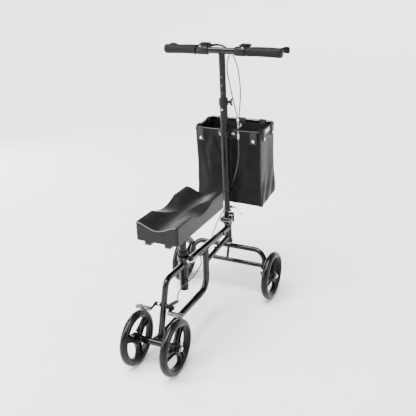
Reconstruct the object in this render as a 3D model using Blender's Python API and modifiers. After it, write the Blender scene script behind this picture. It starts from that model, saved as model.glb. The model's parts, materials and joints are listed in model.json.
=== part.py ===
"""Knee scooter: four wheels, a bent tube frame with a knee pad, and a folding steering stem with a bag.

The origin is under the middle of the scooter, on the floor. +Y is forward, +X is its right side, +Z is up.
"""

import math

import bmesh
import bpy
from mathutils import Matrix, Vector

# Driving dimensions, in metres.
GAP = 0.0003
WHEEL_RADIUS = 0.1016
TYRE_RADIUS = 0.0145
RIM_RADIUS = 0.0815
HUB_HALF = 0.0185
REAR_TRACK = 0.155
FRONT_TRACK = 0.410
WHEELBASE = 0.619
REAR_AXLE_Y = -0.3566
AXLE_HEIGHT = WHEEL_RADIUS

RAKE = math.radians(3.0)
HEAD_AHEAD = 0.636
HEAD_HEIGHT = 0.300
HEAD_TUBE_RADIUS = 0.016
COLUMN_RADIUS = 0.0125
ARCH_RADIUS = 0.011
ARCH_LEG_X = 0.168
ARCH_TOP = -0.104

BEAM_RADIUS = 0.0135
LOWER_BEAM_RADIUS = 0.0105
KEEL_RADIUS = 0.0133
RISER_RADIUS = 0.0115
AXLE_TUBE_RADIUS = 0.0125
SEAT_POST_AHEAD = 0.226
SLEEVE_RADIUS = 0.016
POST_RADIUS = 0.0135
PAD_BOTTOM = 0.464
PAD_TOP = 0.531
PAD_HALF_WIDTH = 0.080
PAD_REAR = 0.045
PAD_FRONT = 0.422

STEM_TUBE_RADIUS = 0.0158
STEM_TUBE_FOOT = 0.163
STEM_TUBE_TOP = 0.511
HEIGHT_TUBE_RADIUS = 0.0127
BAR_HEIGHT = 0.721
BAR_RADIUS = 0.0125
BAR_HALF = 0.238
GRIP_RADIUS = 0.0165
FOLD_Y = -0.0245
FOLD_HEIGHT = 0.0293

BAG_TOP = 0.402
BAG_BOTTOM = 0.092
BAG_REAR = 0.0235
BAG_FRONT = 0.188
BAG_HALF_WIDTH = 0.1435

BRAKE_AHEAD = 0.067
BRAKE_HEIGHT = 0.215

PARTS = bpy.data.collections.new("knee_scooter")
CUTTERS = bpy.data.collections.new("cutters")


def clear_scene():
    for thing in list(bpy.data.objects):
        bpy.data.objects.remove(thing, do_unlink=True)
    bpy.context.scene.collection.children.link(PARTS)
    bpy.context.scene.collection.children.link(CUTTERS)
    CUTTERS.hide_render = True


def material(name, colour, roughness, metallic=0.0):
    made = bpy.data.materials.get(name)
    if made:
        return made
    made = bpy.data.materials.new(name)
    made.use_nodes = True
    shader = made.node_tree.nodes["Principled BSDF"]
    shader.inputs["Base Color"].default_value = (*colour, 1.0)
    shader.inputs["Roughness"].default_value = roughness
    shader.inputs["Metallic"].default_value = metallic
    made.diffuse_color = (*colour, 1.0)
    return made


BLACK_PAINT = material("black_paint", (0.012, 0.012, 0.013), 0.22)
SATIN_TUBE = material("satin_tube", (0.03, 0.03, 0.032), 0.4, 0.3)
RUBBER = material("rubber", (0.025, 0.025, 0.026), 0.7)
TYRE = material("tyre_rubber", (0.03, 0.03, 0.031), 0.6)
WHEEL_PLASTIC = material("wheel_plastic", (0.018, 0.018, 0.02), 0.4)
PLASTIC = material("black_plastic", (0.02, 0.02, 0.021), 0.45)
PAD_FOAM = material("pad_foam", (0.06, 0.06, 0.063), 0.6)
NYLON = material("nylon", (0.015, 0.015, 0.017), 0.7)
ZINC = material("zinc_plate", (0.5, 0.5, 0.5), 0.4, 0.9)
STEEL = material("bright_steel", (0.65, 0.65, 0.65), 0.25, 1.0)
CABLE = material("cable_sheath", (0.02, 0.02, 0.02), 0.35)


def ahead(distance):
    """The Y of a point this far in front of the rear axle."""
    return REAR_AXLE_Y + distance


def in_steering_frame(distance_ahead, height):
    """(y, z) in the steering axis's own frame, of a point given from the rear axle and the floor."""
    forward = distance_ahead - HEAD_AHEAD
    up = height - HEAD_HEIGHT
    y = forward * math.cos(RAKE) + up * math.sin(RAKE)
    z = up * math.cos(RAKE) - forward * math.sin(RAKE)
    return y, z


def pivot(name, location=(0, 0, 0), rotation=(0, 0, 0), parent=None):
    """An empty that sub-parts hang from, on a joint's axis."""
    empty = bpy.data.objects.new(name, None)
    PARTS.objects.link(empty)
    empty.empty_display_size = 0.03
    empty.parent = parent
    empty.location = location
    empty.rotation_euler = rotation
    return empty


def add(name, mesh, surface, parent=None, location=(0, 0, 0), rotation=(0, 0, 0), smooth=35):
    thing = bpy.data.objects.new(name, mesh)
    if surface is None:
        CUTTERS.objects.link(thing)
        thing.hide_render = True
        thing.display_type = "WIRE"
    else:
        PARTS.objects.link(thing)
        mesh.materials.clear()
        mesh.materials.append(surface)
    thing.parent = parent
    thing.location = location
    thing.rotation_euler = rotation
    mesh.shade_smooth()
    mesh.set_sharp_from_angle(angle=math.radians(smooth))
    return thing


def box_mesh(size, centre=(0, 0, 0), turn=(0, 0, 0)):
    mesh = bpy.data.meshes.new("box")
    bm = bmesh.new()
    bmesh.ops.create_cube(bm, size=1.0)
    bmesh.ops.scale(bm, vec=Vector(size), verts=bm.verts)
    bmesh.ops.rotate(bm, matrix=Matrix.Rotation(turn[0], 3, "X"), verts=bm.verts)
    bmesh.ops.rotate(bm, matrix=Matrix.Rotation(turn[2], 3, "Z"), verts=bm.verts)
    bmesh.ops.translate(bm, vec=Vector(centre), verts=bm.verts)
    bm.to_mesh(mesh)
    bm.free()
    return mesh


AXIS_TURN = {"X": (0, math.pi / 2, 0), "Y": (-math.pi / 2, 0, 0), "Z": (0, 0, 0)}


def rod_mesh(radius, low, high, axis="Z", centre=(0, 0, 0), sides=16):
    """A cylinder from low to high along an axis that passes through centre."""
    mesh = bpy.data.meshes.new("rod")
    bm = bmesh.new()
    bmesh.ops.create_cone(
        bm, cap_ends=True, segments=sides, radius1=radius, radius2=radius, depth=high - low
    )
    bmesh.ops.translate(bm, vec=(0, 0, (low + high) / 2), verts=bm.verts)
    turn = Matrix.Rotation(AXIS_TURN[axis][0], 3, "X") @ Matrix.Rotation(AXIS_TURN[axis][1], 3, "Y")
    bmesh.ops.rotate(bm, matrix=turn, verts=bm.verts)
    bmesh.ops.translate(bm, vec=Vector(centre), verts=bm.verts)
    bm.to_mesh(mesh)
    bm.free()
    return mesh


def turned_mesh(outline, steps=24, closed=False):
    """A profile of (radius, height) points, outer side from top to bottom, turned about Z."""
    mesh = bpy.data.meshes.new("turned")
    points = [(radius, 0, height) for radius, height in outline]
    edges = [(i, i + 1) for i in range(len(points) - 1)]
    if closed:
        edges.append((len(points) - 1, 0))
    mesh.from_pydata(points, edges, [])
    helper = bpy.data.objects.new("profile", mesh)
    bpy.context.scene.collection.objects.link(helper)
    screw = helper.modifiers.new("turn", "SCREW")
    screw.steps = steps
    screw.render_steps = steps
    screw.use_merge_vertices = True
    screw.merge_threshold = 0.00005
    return baked(helper)


def baked(helper):
    """The evaluated mesh of a helper object, which is then removed."""
    bpy.context.view_layer.update()
    graph = bpy.context.evaluated_depsgraph_get()
    mesh = bpy.data.meshes.new_from_object(helper.evaluated_get(graph))
    bm = bmesh.new()
    bm.from_mesh(mesh)
    bmesh.ops.remove_doubles(bm, verts=bm.verts, dist=0.00001)
    bm.to_mesh(mesh)
    bm.free()
    bpy.data.objects.remove(helper, do_unlink=True)
    return mesh


def rounded(corners, radius, steps=4):
    """The path through these corners, with each inner corner replaced by an arc."""
    path = [Vector(corners[0])]
    for before, corner, after in zip(corners, corners[1:], corners[2:]):
        corner = Vector(corner)
        to_before = (Vector(before) - corner).normalized()
        to_after = (Vector(after) - corner).normalized()
        half_angle = to_before.angle(to_after) / 2
        reach = radius / math.tan(half_angle)
        centre = corner + (to_before + to_after).normalized() * (radius / math.sin(half_angle))
        start = corner + to_before * reach - centre
        end = corner + to_after * reach - centre
        for i in range(steps + 1):
            path.append(centre + start.slerp(end, i / steps).normalized() * radius)
    path.append(Vector(corners[-1]))
    return path


def smooth_path(points, count):
    """Points read evenly from a Catmull-Rom curve through a cable's own points."""
    knots = [Vector(point) for point in points]
    knots = [2 * knots[0] - knots[1]] + knots + [2 * knots[-1] - knots[-2]]
    spans = len(knots) - 3
    path = []
    for i in range(count + 1):
        place = min(i * spans / count, spans - 1e-6)
        k = int(place)
        t = place - k
        a, b, c, d = knots[k : k + 4]
        path.append(
            0.5 * (2 * b + (c - a) * t + (2 * a - 5 * b + 4 * c - d) * t**2 + (3 * b - a - 3 * c + d) * t**3)
        )
    return path


def tube_mesh(path, radius, resolution=4, widths=None):
    """A round tube with filled caps along a path; widths scales the radius point by point."""
    data = bpy.data.curves.new("tube", "CURVE")
    data.dimensions = "3D"
    data.bevel_depth = radius
    data.bevel_resolution = resolution
    data.use_fill_caps = True
    spline = data.splines.new("POLY")
    spline.points.add(len(path) - 1)
    for i, point in enumerate(path):
        spline.points[i].co = (*point, 1.0)
        spline.points[i].radius = widths[i] if widths else 1.0
    helper = bpy.data.objects.new("tube", data)
    bpy.context.scene.collection.objects.link(helper)
    return baked(helper)


def loop_mesh(path, radius, resolution=2):
    """A round wire along a closed path."""
    data = bpy.data.curves.new("loop", "CURVE")
    data.dimensions = "3D"
    data.bevel_depth = radius
    data.bevel_resolution = resolution
    spline = data.splines.new("POLY")
    spline.points.add(len(path) - 1)
    spline.use_cyclic_u = True
    for i, point in enumerate(path):
        spline.points[i].co = (*point, 1.0)
    helper = bpy.data.objects.new("loop", data)
    bpy.context.scene.collection.objects.link(helper)
    return baked(helper)


def plate_mesh(outline, low, high):
    """A flat outline of (y, z) points, extruded along X from low to high."""
    data = bpy.data.curves.new("plate", "CURVE")
    data.dimensions = "2D"
    data.fill_mode = "BOTH"
    data.extrude = (high - low) / 2
    spline = data.splines.new("POLY")
    spline.points.add(len(outline) - 1)
    spline.use_cyclic_u = True
    for i, (y, z) in enumerate(outline):
        spline.points[i].co = (y, z, 0.0, 1.0)
    helper = bpy.data.objects.new("plate", data)
    bpy.context.scene.collection.objects.link(helper)
    mesh = baked(helper)
    # The flat outline lies in XY: stand it up, with its thickness along X.
    stand = Matrix(((0, 0, 1, (low + high) / 2), (1, 0, 0, 0), (0, 1, 0, 0), (0, 0, 0, 1)))
    mesh.transform(stand)
    return mesh


def boolean(thing, mesh, operation):
    """Cuts or joins a mesh that is given in the thing's own frame."""
    other = add(thing.name + "_" + operation.lower(), mesh, None)
    other.parent = thing
    modifier = thing.modifiers.new(operation.lower(), "BOOLEAN")
    modifier.operation = operation
    modifier.object = other
    modifier.solver = "EXACT"
    return thing


def cut(thing, *meshes):
    for mesh in meshes:
        boolean(thing, mesh, "DIFFERENCE")
    return thing


def join(thing, *meshes):
    for mesh in meshes:
        boolean(thing, mesh, "UNION")
    return thing


def ring_outline(outer, inner, low, high):
    return [(outer, high), (outer, low), (inner, low), (inner, high)]


# Frame ----------------------------------------------------------------------------------------


def riser_path():
    corners = [
        (0, ahead(SEAT_POST_AHEAD), 0.299),
        (0, ahead(0.092), 0.302),
        (0, ahead(0.034), 0.100),
    ]
    return rounded(corners, 0.035, 5)


def keel_path():
    corners = [
        (0, ahead(0.4135), 0.287),
        (0, ahead(0.4135), 0.107),
        (0, ahead(0.0), 0.1065),
    ]
    return rounded(corners, 0.050, 6)


def upper_beam_path():
    return [(0, ahead(HEAD_AHEAD), 0.2798), (0, ahead(SEAT_POST_AHEAD), 0.2972)]


def lower_beam_path():
    return [(0, ahead(HEAD_AHEAD), 0.2392), (0, ahead(0.4135), 0.2225)]


def rear_axle_path(reach):
    return [(-reach, ahead(0), AXLE_HEIGHT), (reach, ahead(0), AXLE_HEIGHT)]


def head_cutter():
    """The head tube's outside, a gap larger, standing on the raked axis."""
    mesh = rod_mesh(HEAD_TUBE_RADIUS + GAP, -0.12, 0.08, sides=24)
    mesh.transform(
        Matrix.Translation((0, ahead(HEAD_AHEAD), HEAD_HEIGHT)) @ Matrix.Rotation(RAKE, 4, "X")
    )
    return mesh


def sleeve_cutter():
    return rod_mesh(SLEEVE_RADIUS + GAP, 0.15, 0.40, centre=(0, ahead(SEAT_POST_AHEAD), 0), sides=24)


def build_frame(steering_axis):
    head = turned_mesh(ring_outline(HEAD_TUBE_RADIUS, 0.0129, -0.078, -0.002), 24, True)
    add("head_tube", head, BLACK_PAINT, steering_axis)
    cup = turned_mesh(ring_outline(0.019, 0.0129, -0.0863, -0.0783), 24, True)
    add("head_cup_lower", cup, SATIN_TUBE, steering_axis)
    cup = turned_mesh(ring_outline(0.019, 0.0129, -0.0017, 0.0055), 24, True)
    add("head_cup_upper", cup, SATIN_TUBE, steering_axis)

    beam = add("upper_beam", tube_mesh(upper_beam_path(), BEAM_RADIUS, 6), BLACK_PAINT)
    cut(beam, head_cutter(), sleeve_cutter())
    beam = add("lower_beam", tube_mesh(lower_beam_path(), LOWER_BEAM_RADIUS), BLACK_PAINT)
    cut(beam, head_cutter(), tube_mesh(keel_path(), KEEL_RADIUS + GAP))
    keel = add("keel_tube", tube_mesh(keel_path(), KEEL_RADIUS), BLACK_PAINT)
    cut(
        keel,
        tube_mesh(upper_beam_path(), BEAM_RADIUS + GAP, 6),
        tube_mesh(rear_axle_path(0.08), AXLE_TUBE_RADIUS + GAP),
    )
    riser = add("riser_tube", tube_mesh(riser_path(), RISER_RADIUS), BLACK_PAINT)
    cut(
        riser,
        sleeve_cutter(),
        tube_mesh(keel_path(), KEEL_RADIUS + GAP),
        rod_mesh(0.0056, -0.03, 0.03, "X", (0, ahead(BRAKE_AHEAD), BRAKE_HEIGHT), 12),
    )
    add("rear_axle_tube", tube_mesh(rear_axle_path(0.0575), AXLE_TUBE_RADIUS), BLACK_PAINT)


def build_seat_socket():
    place = (0, ahead(SEAT_POST_AHEAD), 0)
    add("seat_sleeve", turned_mesh(ring_outline(SLEEVE_RADIUS, 0.0140, 0.198, 0.343), 24, True),
        SATIN_TUBE, location=place)
    add("sleeve_collar", turned_mesh(ring_outline(0.0185, 0.0139, 0.3433, 0.357), 24, True),
        PLASTIC, location=place)
    clamp = turned_mesh(ring_outline(0.0215, 0.0163, 0.318, 0.338), 24, True)
    clamp = add("seat_clamp", clamp, SATIN_TUBE, location=place)
    join(clamp, box_mesh((0.018, 0.019, 0.016), (0.027, 0, 0.328)))
    cut(clamp, box_mesh((0.030, 0.003, 0.03), (0.0295, 0, 0.328)))
    join(clamp, rod_mesh(0.003, -0.0145, 0.0125, "Y", (0.029, 0, 0.328), 10))
    join(clamp, rod_mesh(0.006, 0.0088, 0.0145, "Y", (0.029, 0, 0.328), 6))

    hinge = pivot("seat_lever_pivot", (0.029, ahead(SEAT_POST_AHEAD) - 0.0195, 0.328))
    route = rounded([(0, 0, 0), (0.0125, 0, 0), (0.0145, 0.014, 0), (0.0145, 0.054, 0)], 0.006, 3)
    lever = add("seat_lever", tube_mesh(route, 0.0035, 3), STEEL, hinge)
    join(lever, rod_mesh(0.0045, -0.0065, 0.0065, "Z", sides=12))


# Wheels ---------------------------------------------------------------------------------------


def tyre_mesh():
    bead = WHEEL_RADIUS - TYRE_RADIUS
    arc = [math.radians(90 - 30 * i) for i in range(7)]
    outline = [(bead + TYRE_RADIUS * math.cos(a), TYRE_RADIUS * math.sin(a)) for a in arc]
    outline += [(RIM_RADIUS + 0.0006, -0.0115), (RIM_RADIUS + 0.0006, 0.0115)]
    return turned_mesh(outline, 32, True)


def wheel_mesh():
    """A rim ring, a bored hub and three broad spokes, in one body about Z."""
    rim = turned_mesh(ring_outline(RIM_RADIUS, 0.0745, -0.0115, 0.0115), 32, True)
    wheel = add("wheel_form", rim, None)
    join(wheel, turned_mesh(ring_outline(0.0175, 0.0056, -HUB_HALF, HUB_HALF), 24, True))
    for i in range(3):
        spoke = box_mesh((0.0655, 0.022, 0.013), (0.04375, 0, 0))
        spoke.transform(Matrix.Rotation(math.radians(120 * i + 90), 4, "Z"))
        join(wheel, spoke)
    return baked(wheel)


def build_wheels(steering_axis):
    tyre = tyre_mesh()
    wheel = wheel_mesh()
    front_y, front_z = in_steering_frame(WHEELBASE, AXLE_HEIGHT)
    for side, sign in (("left", -1), ("right", 1)):
        places = (
            ("rear", None, (sign * REAR_TRACK / 2, ahead(0), AXLE_HEIGHT)),
            ("front", steering_axis, (sign * FRONT_TRACK / 2, front_y, front_z)),
        )
        for end, parent, place in places:
            axle = pivot(f"{end}_{side}_axle", place, (0, math.pi / 2, 0), parent)
            add(f"tyre_{end}_{side}", tyre.copy(), TYRE, axle)
            add(f"wheel_{end}_{side}", wheel.copy(), WHEEL_PLASTIC, axle)
        turn = (0, sign * math.pi / 2, 0)
        rear_bolt = [
            (0.0, 0.1035), (0.009, 0.1035), (0.009, 0.0968), (0.005, 0.0968), (0.005, 0.0586),
            (0.009, 0.0586), (0.009, 0.0578), (0.0, 0.0578),
        ]
        add(f"rear_bolt_{side}", turned_mesh(rear_bolt, 12), STEEL,
            location=(0, ahead(0), AXLE_HEIGHT), rotation=turn)
        front_bolt = [
            (0.0, 0.2305), (0.009, 0.2305), (0.009, 0.2240), (0.005, 0.2240), (0.005, 0.1860),
            (0.009, 0.1860), (0.009, 0.1723), (0.005, 0.1723), (0.005, 0.1637), (0.009, 0.1637),
            (0.009, 0.1555), (0.0, 0.1555),
        ]
        add(f"front_bolt_{side}", turned_mesh(front_bolt, 12), STEEL, steering_axis,
            (0, front_y, front_z), turn)


# Steering -------------------------------------------------------------------------------------


def arch_corners():
    leg_y, leg_z = in_steering_frame(0.6226, 0.120)
    return [
        (-ARCH_LEG_X, leg_y, leg_z),
        (-ARCH_LEG_X, 0, ARCH_TOP),
        (ARCH_LEG_X, 0, ARCH_TOP),
        (ARCH_LEG_X, leg_y, leg_z),
    ]


def arch_mesh(radius):
    return tube_mesh(rounded(arch_corners(), 0.050, 5), radius)


def build_steering(axis):
    add("front_arch", arch_mesh(ARCH_RADIUS), BLACK_PAINT, axis)
    column = add("steer_column", rod_mesh(COLUMN_RADIUS, ARCH_TOP, 0.0055, sides=24), SATIN_TUBE, axis)
    cut(column, arch_mesh(ARCH_RADIUS + GAP))

    cross_y, cross_z = in_steering_frame(0.6256, 0.135)
    ends = [(-ARCH_LEG_X, cross_y, cross_z), (ARCH_LEG_X, cross_y, cross_z)]
    cross = add("front_cross_tube", tube_mesh(ends, 0.0095), BLACK_PAINT, axis)
    join(cross, tube_mesh([(0, cross_y, cross_z), (0, 0, ARCH_TOP)], 0.006, 3))
    cut(cross, arch_mesh(ARCH_RADIUS + GAP))

    axle_y, axle_z = in_steering_frame(WHEELBASE, AXLE_HEIGHT)
    for side, sign in (("left", -1), ("right", 1)):
        lug = box_mesh((0.008, 0.028, 0.0317), (sign * ARCH_LEG_X, axle_y, -0.19935))
        lug = add(f"front_lug_{side}", lug, BLACK_PAINT, axis)
        cut(lug, rod_mesh(0.0056, -0.2, 0.2, "X", (0, axle_y, axle_z), 12))

    base = add("fold_base", box_mesh((0.036, 0.0335, 0.0242), (0, 0.00115, 0.0179)), BLACK_PAINT, axis)
    ear = [(-0.0150, 0.0060), (-0.0150, 0.0300), (-0.0170, 0.0375), (-0.0245, 0.0385),
           (-0.0320, 0.0350), (-0.0335, 0.0293), (-0.0320, 0.0220), (-0.0230, 0.0120)]
    join(base, plate_mesh(ear, -0.018, -0.0119), plate_mesh(ear, 0.0119, 0.018))
    cut(base, box_mesh((0.0238, 0.012, 0.03), (0, -0.0190, 0.026)))
    join(base, rod_mesh(0.0032, -0.0215, 0.0215, "X", (0, FOLD_Y, FOLD_HEIGHT), 12))
    join(base, rod_mesh(0.006, 0.0175, 0.0225, "X", (0, FOLD_Y, FOLD_HEIGHT), 6))
    join(base, rod_mesh(0.006, -0.0225, -0.0175, "X", (0, FOLD_Y, FOLD_HEIGHT), 6))


# Stem -----------------------------------------------------------------------------------------


def on_fold(x, y, z):
    """A point of the steering frame, from the fold pin."""
    return x, y - FOLD_Y, z - FOLD_HEIGHT


def shifted(mesh):
    """A mesh made about the steering axis, moved to hang from the fold pin."""
    mesh.transform(Matrix.Translation((0, -FOLD_Y, -FOLD_HEIGHT)))
    return mesh


def build_fold_block(hinge):
    turn = [math.radians(200 + 24 * i) for i in range(6)]
    knuckle = [(FOLD_Y + 0.0085 * math.cos(a), FOLD_HEIGHT + 0.0085 * math.sin(a)) for a in turn]
    outline = [(-0.0158, 0.0303), (0.018, 0.0303), (0.018, 0.058), (0.014, 0.062), (-0.014, 0.062)]
    outline.append((-0.018, 0.050))
    block = add("fold_block", shifted(plate_mesh(outline + knuckle, -0.0115, 0.0115)), BLACK_PAINT, hinge)
    cut(block, shifted(rod_mesh(0.0036, -0.03, 0.03, "X", (0, FOLD_Y, FOLD_HEIGHT), 12)))

    lever_hinge = pivot("fold_lever_pivot", on_fold(0, 0.002, 0.047), parent=hinge)
    lever = add("fold_lever", box_mesh((0.006, 0.010, 0.040), (0.0255, 0, -0.018)), PLASTIC, lever_hinge)
    join(lever, rod_mesh(0.007, 0.0119, 0.0285, "X", sides=12))

    pull = pivot("latch_pin_pivot", on_fold(0, -0.002, 0.080), parent=hinge)
    pin = add("latch_pin", rod_mesh(0.003, 0.0130, 0.046, "X", sides=12), STEEL, pull)
    join(pin, rod_mesh(0.0065, 0.040, 0.046, "X", sides=12))


def build_stem(hinge):
    foot = [(0.0, 0.1627), (0.0178, 0.1627), (0.0178, 0.149), (0.0125, 0.149), (0.0125, 0.0623),
            (0.0, 0.0623)]
    add("stem_foot_tube", shifted(turned_mesh(foot)), SATIN_TUBE, hinge)
    tube = [(0.0, 0.235), (0.0132, 0.235), (0.0132, STEM_TUBE_TOP), (STEM_TUBE_RADIUS, STEM_TUBE_TOP),
            (STEM_TUBE_RADIUS, STEM_TUBE_FOOT), (0.0, STEM_TUBE_FOOT)]
    tube = add("stem_tube", shifted(turned_mesh(tube)), SATIN_TUBE, hinge)
    cut(tube, shifted(rod_mesh(0.0046, -0.03, -0.0145, "Y", (0, 0, 0.498), 12)))
    collar = turned_mesh(ring_outline(0.0185, 0.0132, STEM_TUBE_TOP + GAP, 0.541), 24, True)
    collar = add("stem_collar", shifted(collar), PLASTIC, hinge)
    join(collar, shifted(rod_mesh(0.006, 0.0155, 0.024, "X", (0, 0, 0.526), 12)))

    knob_axis = pivot("wing_knob_pivot", on_fold(0, 0, 0.526), parent=hinge)
    knob = add("wing_knob", rod_mesh(0.006, 0.0243, 0.036, "X", sides=12), PLASTIC, knob_axis)
    join(knob, box_mesh((0.014, 0.021, 0.005), (0.0355, 0, 0)))

    press = pivot("height_button_pivot", on_fold(0, 0, 0.498), parent=hinge)
    add("height_button", rod_mesh(0.0038, -0.0195, -0.0160, "Y", sides=12), STEEL, press)


def bag_ring(inset, height):
    """Four corners of the bag at one height, in order round it."""
    half = BAG_HALF_WIDTH - inset
    return [
        (-half, BAG_REAR + inset, height),
        (half, BAG_REAR + inset, height),
        (half, BAG_FRONT - inset, height),
        (-half, BAG_FRONT - inset, height),
    ]


def build_bag(hinge):
    """An open-topped bag on a wire rim, which a clamp holds in front of the stem."""
    mesh = bpy.data.meshes.new("bag")
    bm = bmesh.new()
    low = [bm.verts.new(point) for point in bag_ring(0.004, BAG_BOTTOM)]
    high = [bm.verts.new(point) for point in bag_ring(0.0, BAG_TOP)]
    bm.faces.new(reversed(low))
    for i in range(4):
        j = (i + 1) % 4
        bm.faces.new((low[i], low[j], high[j], high[i]))
    bm.to_mesh(mesh)
    bm.free()
    bag = add("bag", shifted(mesh), NYLON, hinge)
    wall = bag.modifiers.new("wall", "SOLIDIFY")
    wall.thickness = 0.0025
    wall.offset = -1.0
    wall.use_even_offset = True

    rim = [Vector(point) for point in bag_ring(0.0004, BAG_TOP + 0.0028)]
    middle = (rim[0] + rim[1]) / 2
    path = rounded([middle, *rim[1:], rim[0], middle + Vector((-0.001, 0, 0))], 0.022, 4)[:-1]
    add("bag_rim", shifted(loop_mesh(path, 0.0025)), STEEL, hinge)

    clamp = turned_mesh(ring_outline(0.0200, 0.0161, 0.386, 0.410), 24, True)
    clamp = add("bag_clamp", shifted(clamp), PLASTIC, hinge)
    join(clamp, shifted(box_mesh((0.026, 0.0032, 0.018), (0, 0.0194, 0.4015))))


# Handlebar ------------------------------------------------------------------------------------


def build_handlebar(bar):
    """Everything that slides up and down in the stem; bar is an empty on the bar's middle."""
    tube = add("height_tube", rod_mesh(HEIGHT_TUBE_RADIUS, 0.400 - BAR_HEIGHT, 0, sides=24), SATIN_TUBE, bar)
    cut(tube, tube_mesh([(-0.1, 0, 0), (0.1, 0, 0)], BAR_RADIUS + GAP, 6))
    for i in range(4):
        level = 0.561 + 0.0315 * i - BAR_HEIGHT
        cut(tube, rod_mesh(0.0042, -0.02, -0.0095, "Y", (0, 0, level), 10))
    add("handlebar", tube_mesh([(-BAR_HALF, 0, 0), (BAR_HALF, 0, 0)], BAR_RADIUS, 6), BLACK_PAINT, bar)
    grip = [
        (0.0, 0.2425), (0.0150, 0.2425), (0.0175, 0.236), (0.0175, 0.215), (GRIP_RADIUS, 0.16),
        (0.0175, 0.1045), (0.0129, 0.1045), (0.0129, BAR_HALF + GAP), (0.0, BAR_HALF + GAP),
    ]
    for side, sign in (("left", -1), ("right", 1)):
        add(f"grip_{side}", turned_mesh(grip, 20), RUBBER, bar, rotation=(0, sign * math.pi / 2, 0))
        mount = turned_mesh(ring_outline(0.0175, 0.0129, 0.054, 0.100), 20, True)
        mount.transform(Matrix.Rotation(sign * math.pi / 2, 4, "Y"))
        mount = add(f"lever_mount_{side}", mount, PLASTIC, bar)
        join(mount, box_mesh((0.014, 0.024, 0.016), (sign * 0.073, 0.0275, 0)))
        hinge = pivot(f"brake_lever_{side}_pivot", (sign * 0.078, 0.046, 0), parent=bar)
        blade = box_mesh((0.172, 0.008, 0.018), (sign * 0.086, 0.0045, 0), (0, 0, sign * math.radians(3)))
        lever = add(f"brake_lever_{side}", blade, PLASTIC, hinge)
        join(lever, box_mesh((0.022, 0.011, 0.014)))


def build_cables(bar, hinge):
    """The two upper cables meet in a joiner, from which one cable runs down to the rear brake."""
    left = [
        (-0.0655, 0.034, 0.0105), (-0.030, 0.036, 0.014), (0.006, 0.031, 0.006), (0.024, 0.019, -0.011),
        (0.0165, 0.0125, -0.042), (0.0165, 0.009, -0.080), (0.036, -0.004, -0.153),
        (0.050, -0.012, -0.197), (0.0590, -0.012, -0.238), (0.0606, -0.012, -0.2538),
    ]
    right = [
        (0.0655, 0.034, 0.012), (0.046, 0.034, 0.003), (0.0365, 0.024, -0.016), (0.0480, 0.013, -0.036),
        (0.0600, 0.007, -0.060), (0.0704, 0.0, -0.114), (0.0740, -0.006, -0.169),
        (0.0695, -0.012, -0.237), (0.0664, -0.012, -0.2538),
    ]
    add("brake_cable_left", tube_mesh(smooth_path(left, 44), 0.0023, 2), CABLE, bar)
    add("brake_cable_right", tube_mesh(smooth_path(right, 44), 0.0023, 2), CABLE, bar)
    stem = [
        (0.0634, -0.012, 0.466), (0.0634, -0.012, 0.456), (0.0634, -0.012, 0.455), (0.0634, -0.012, 0.404),
        (0.0634, -0.012, 0.4035), (0.0634, -0.012, 0.384), (0.0631, -0.012, 0.3168),
        (0.0520, -0.011, 0.2570), (0.0400, -0.004, 0.2194), (0.0275, 0.0085, 0.190),
        (0.0155, 0.0172, 0.165), (0.0060, 0.0205, 0.148), (-0.0060, 0.0205, 0.125),
        (-0.0150, 0.0185, 0.100), (-0.0185, 0.0165, 0.078), (-0.0195, 0.0110, 0.0585),
        (-0.0195, -0.0070, 0.0520), (-0.0193, -0.0250, 0.0467), (-0.0190, -0.0440, 0.0407),
    ]
    straight = stem[:6]
    swept = smooth_path(stem[5:], 36)
    path = [Vector(point) for point in straight] + swept[1:]
    widths = [1.7, 1.7, 0.95, 0.95, 1.6, 1.05] + [1.0] * (len(swept) - 1)
    add("brake_cable_stem", shifted(tube_mesh(path, 0.0031, 2, widths)), CABLE, hinge)
    frame = [
        (-0.0190, 0.5890, 0.3377), (-0.0190, 0.5650, 0.3245), (-0.0187, 0.5285, 0.2965),
        (-0.0182, 0.5100, 0.2790), (-0.0170, 0.4950, 0.2655), (-0.0168, 0.4750, 0.2575),
        (-0.0182, 0.4450, 0.2535), (-0.0190, 0.4200, 0.2530), (-0.0150, 0.3960, 0.2525),
        (0.0, 0.3700, 0.2515), (0.0150, 0.3400, 0.2490), (0.0200, 0.3000, 0.2430),
        (0.0215, 0.2570, 0.2380), (0.0215, 0.2100, 0.2390), (0.0205, 0.1740, 0.2390),
        (0.0200, 0.1460, 0.2310), (0.0200, 0.1330, 0.2180), (0.0200, 0.1300, 0.2090),
    ]
    frame = [(x, ahead(y), z) for x, y, z in frame]
    add("brake_cable_frame", tube_mesh(smooth_path(frame, 64), 0.0022, 2), CABLE)


# Seat and brake -------------------------------------------------------------------------------


def pad_mesh():
    """A long pad whose top is a shallow trough along its length."""
    mesh = bpy.data.meshes.new("pad")
    bm = bmesh.new()
    bmesh.ops.create_cube(bm, size=1.0)
    bmesh.ops.subdivide_edges(bm, edges=bm.edges, cuts=5, use_grid_fill=True)
    for vert in bm.verts:
        across, along, up = vert.co * 2
        top = PAD_TOP - 0.023 * math.cos(across * math.pi / 2) ** 2
        height = PAD_BOTTOM + (top - PAD_BOTTOM) * (up + 1) / 2
        middle = (PAD_REAR + PAD_FRONT) / 2
        half = (PAD_FRONT - PAD_REAR) / 2
        vert.co = (across * PAD_HALF_WIDTH, middle + along * half - SEAT_POST_AHEAD, height)
    bm.to_mesh(mesh)
    bm.free()
    return mesh


def build_seat():
    seat = pivot("seat_slide", (0, ahead(SEAT_POST_AHEAD), 0))
    add("seat_post", rod_mesh(POST_RADIUS, 0.235, 0.4465, sides=24), SATIN_TUBE, seat)
    plate = add("seat_plate", box_mesh((0.100, 0.200, 0.005), (0, 0.014, 0.4493)), BLACK_PAINT, seat)
    for sign in (-1, 1):
        join(plate, box_mesh((0.024, 0.325, 0.0137), (sign * 0.038, 0.0115, 0.45685)))
    add("seat_pad", pad_mesh(), PAD_FOAM, seat)


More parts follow.
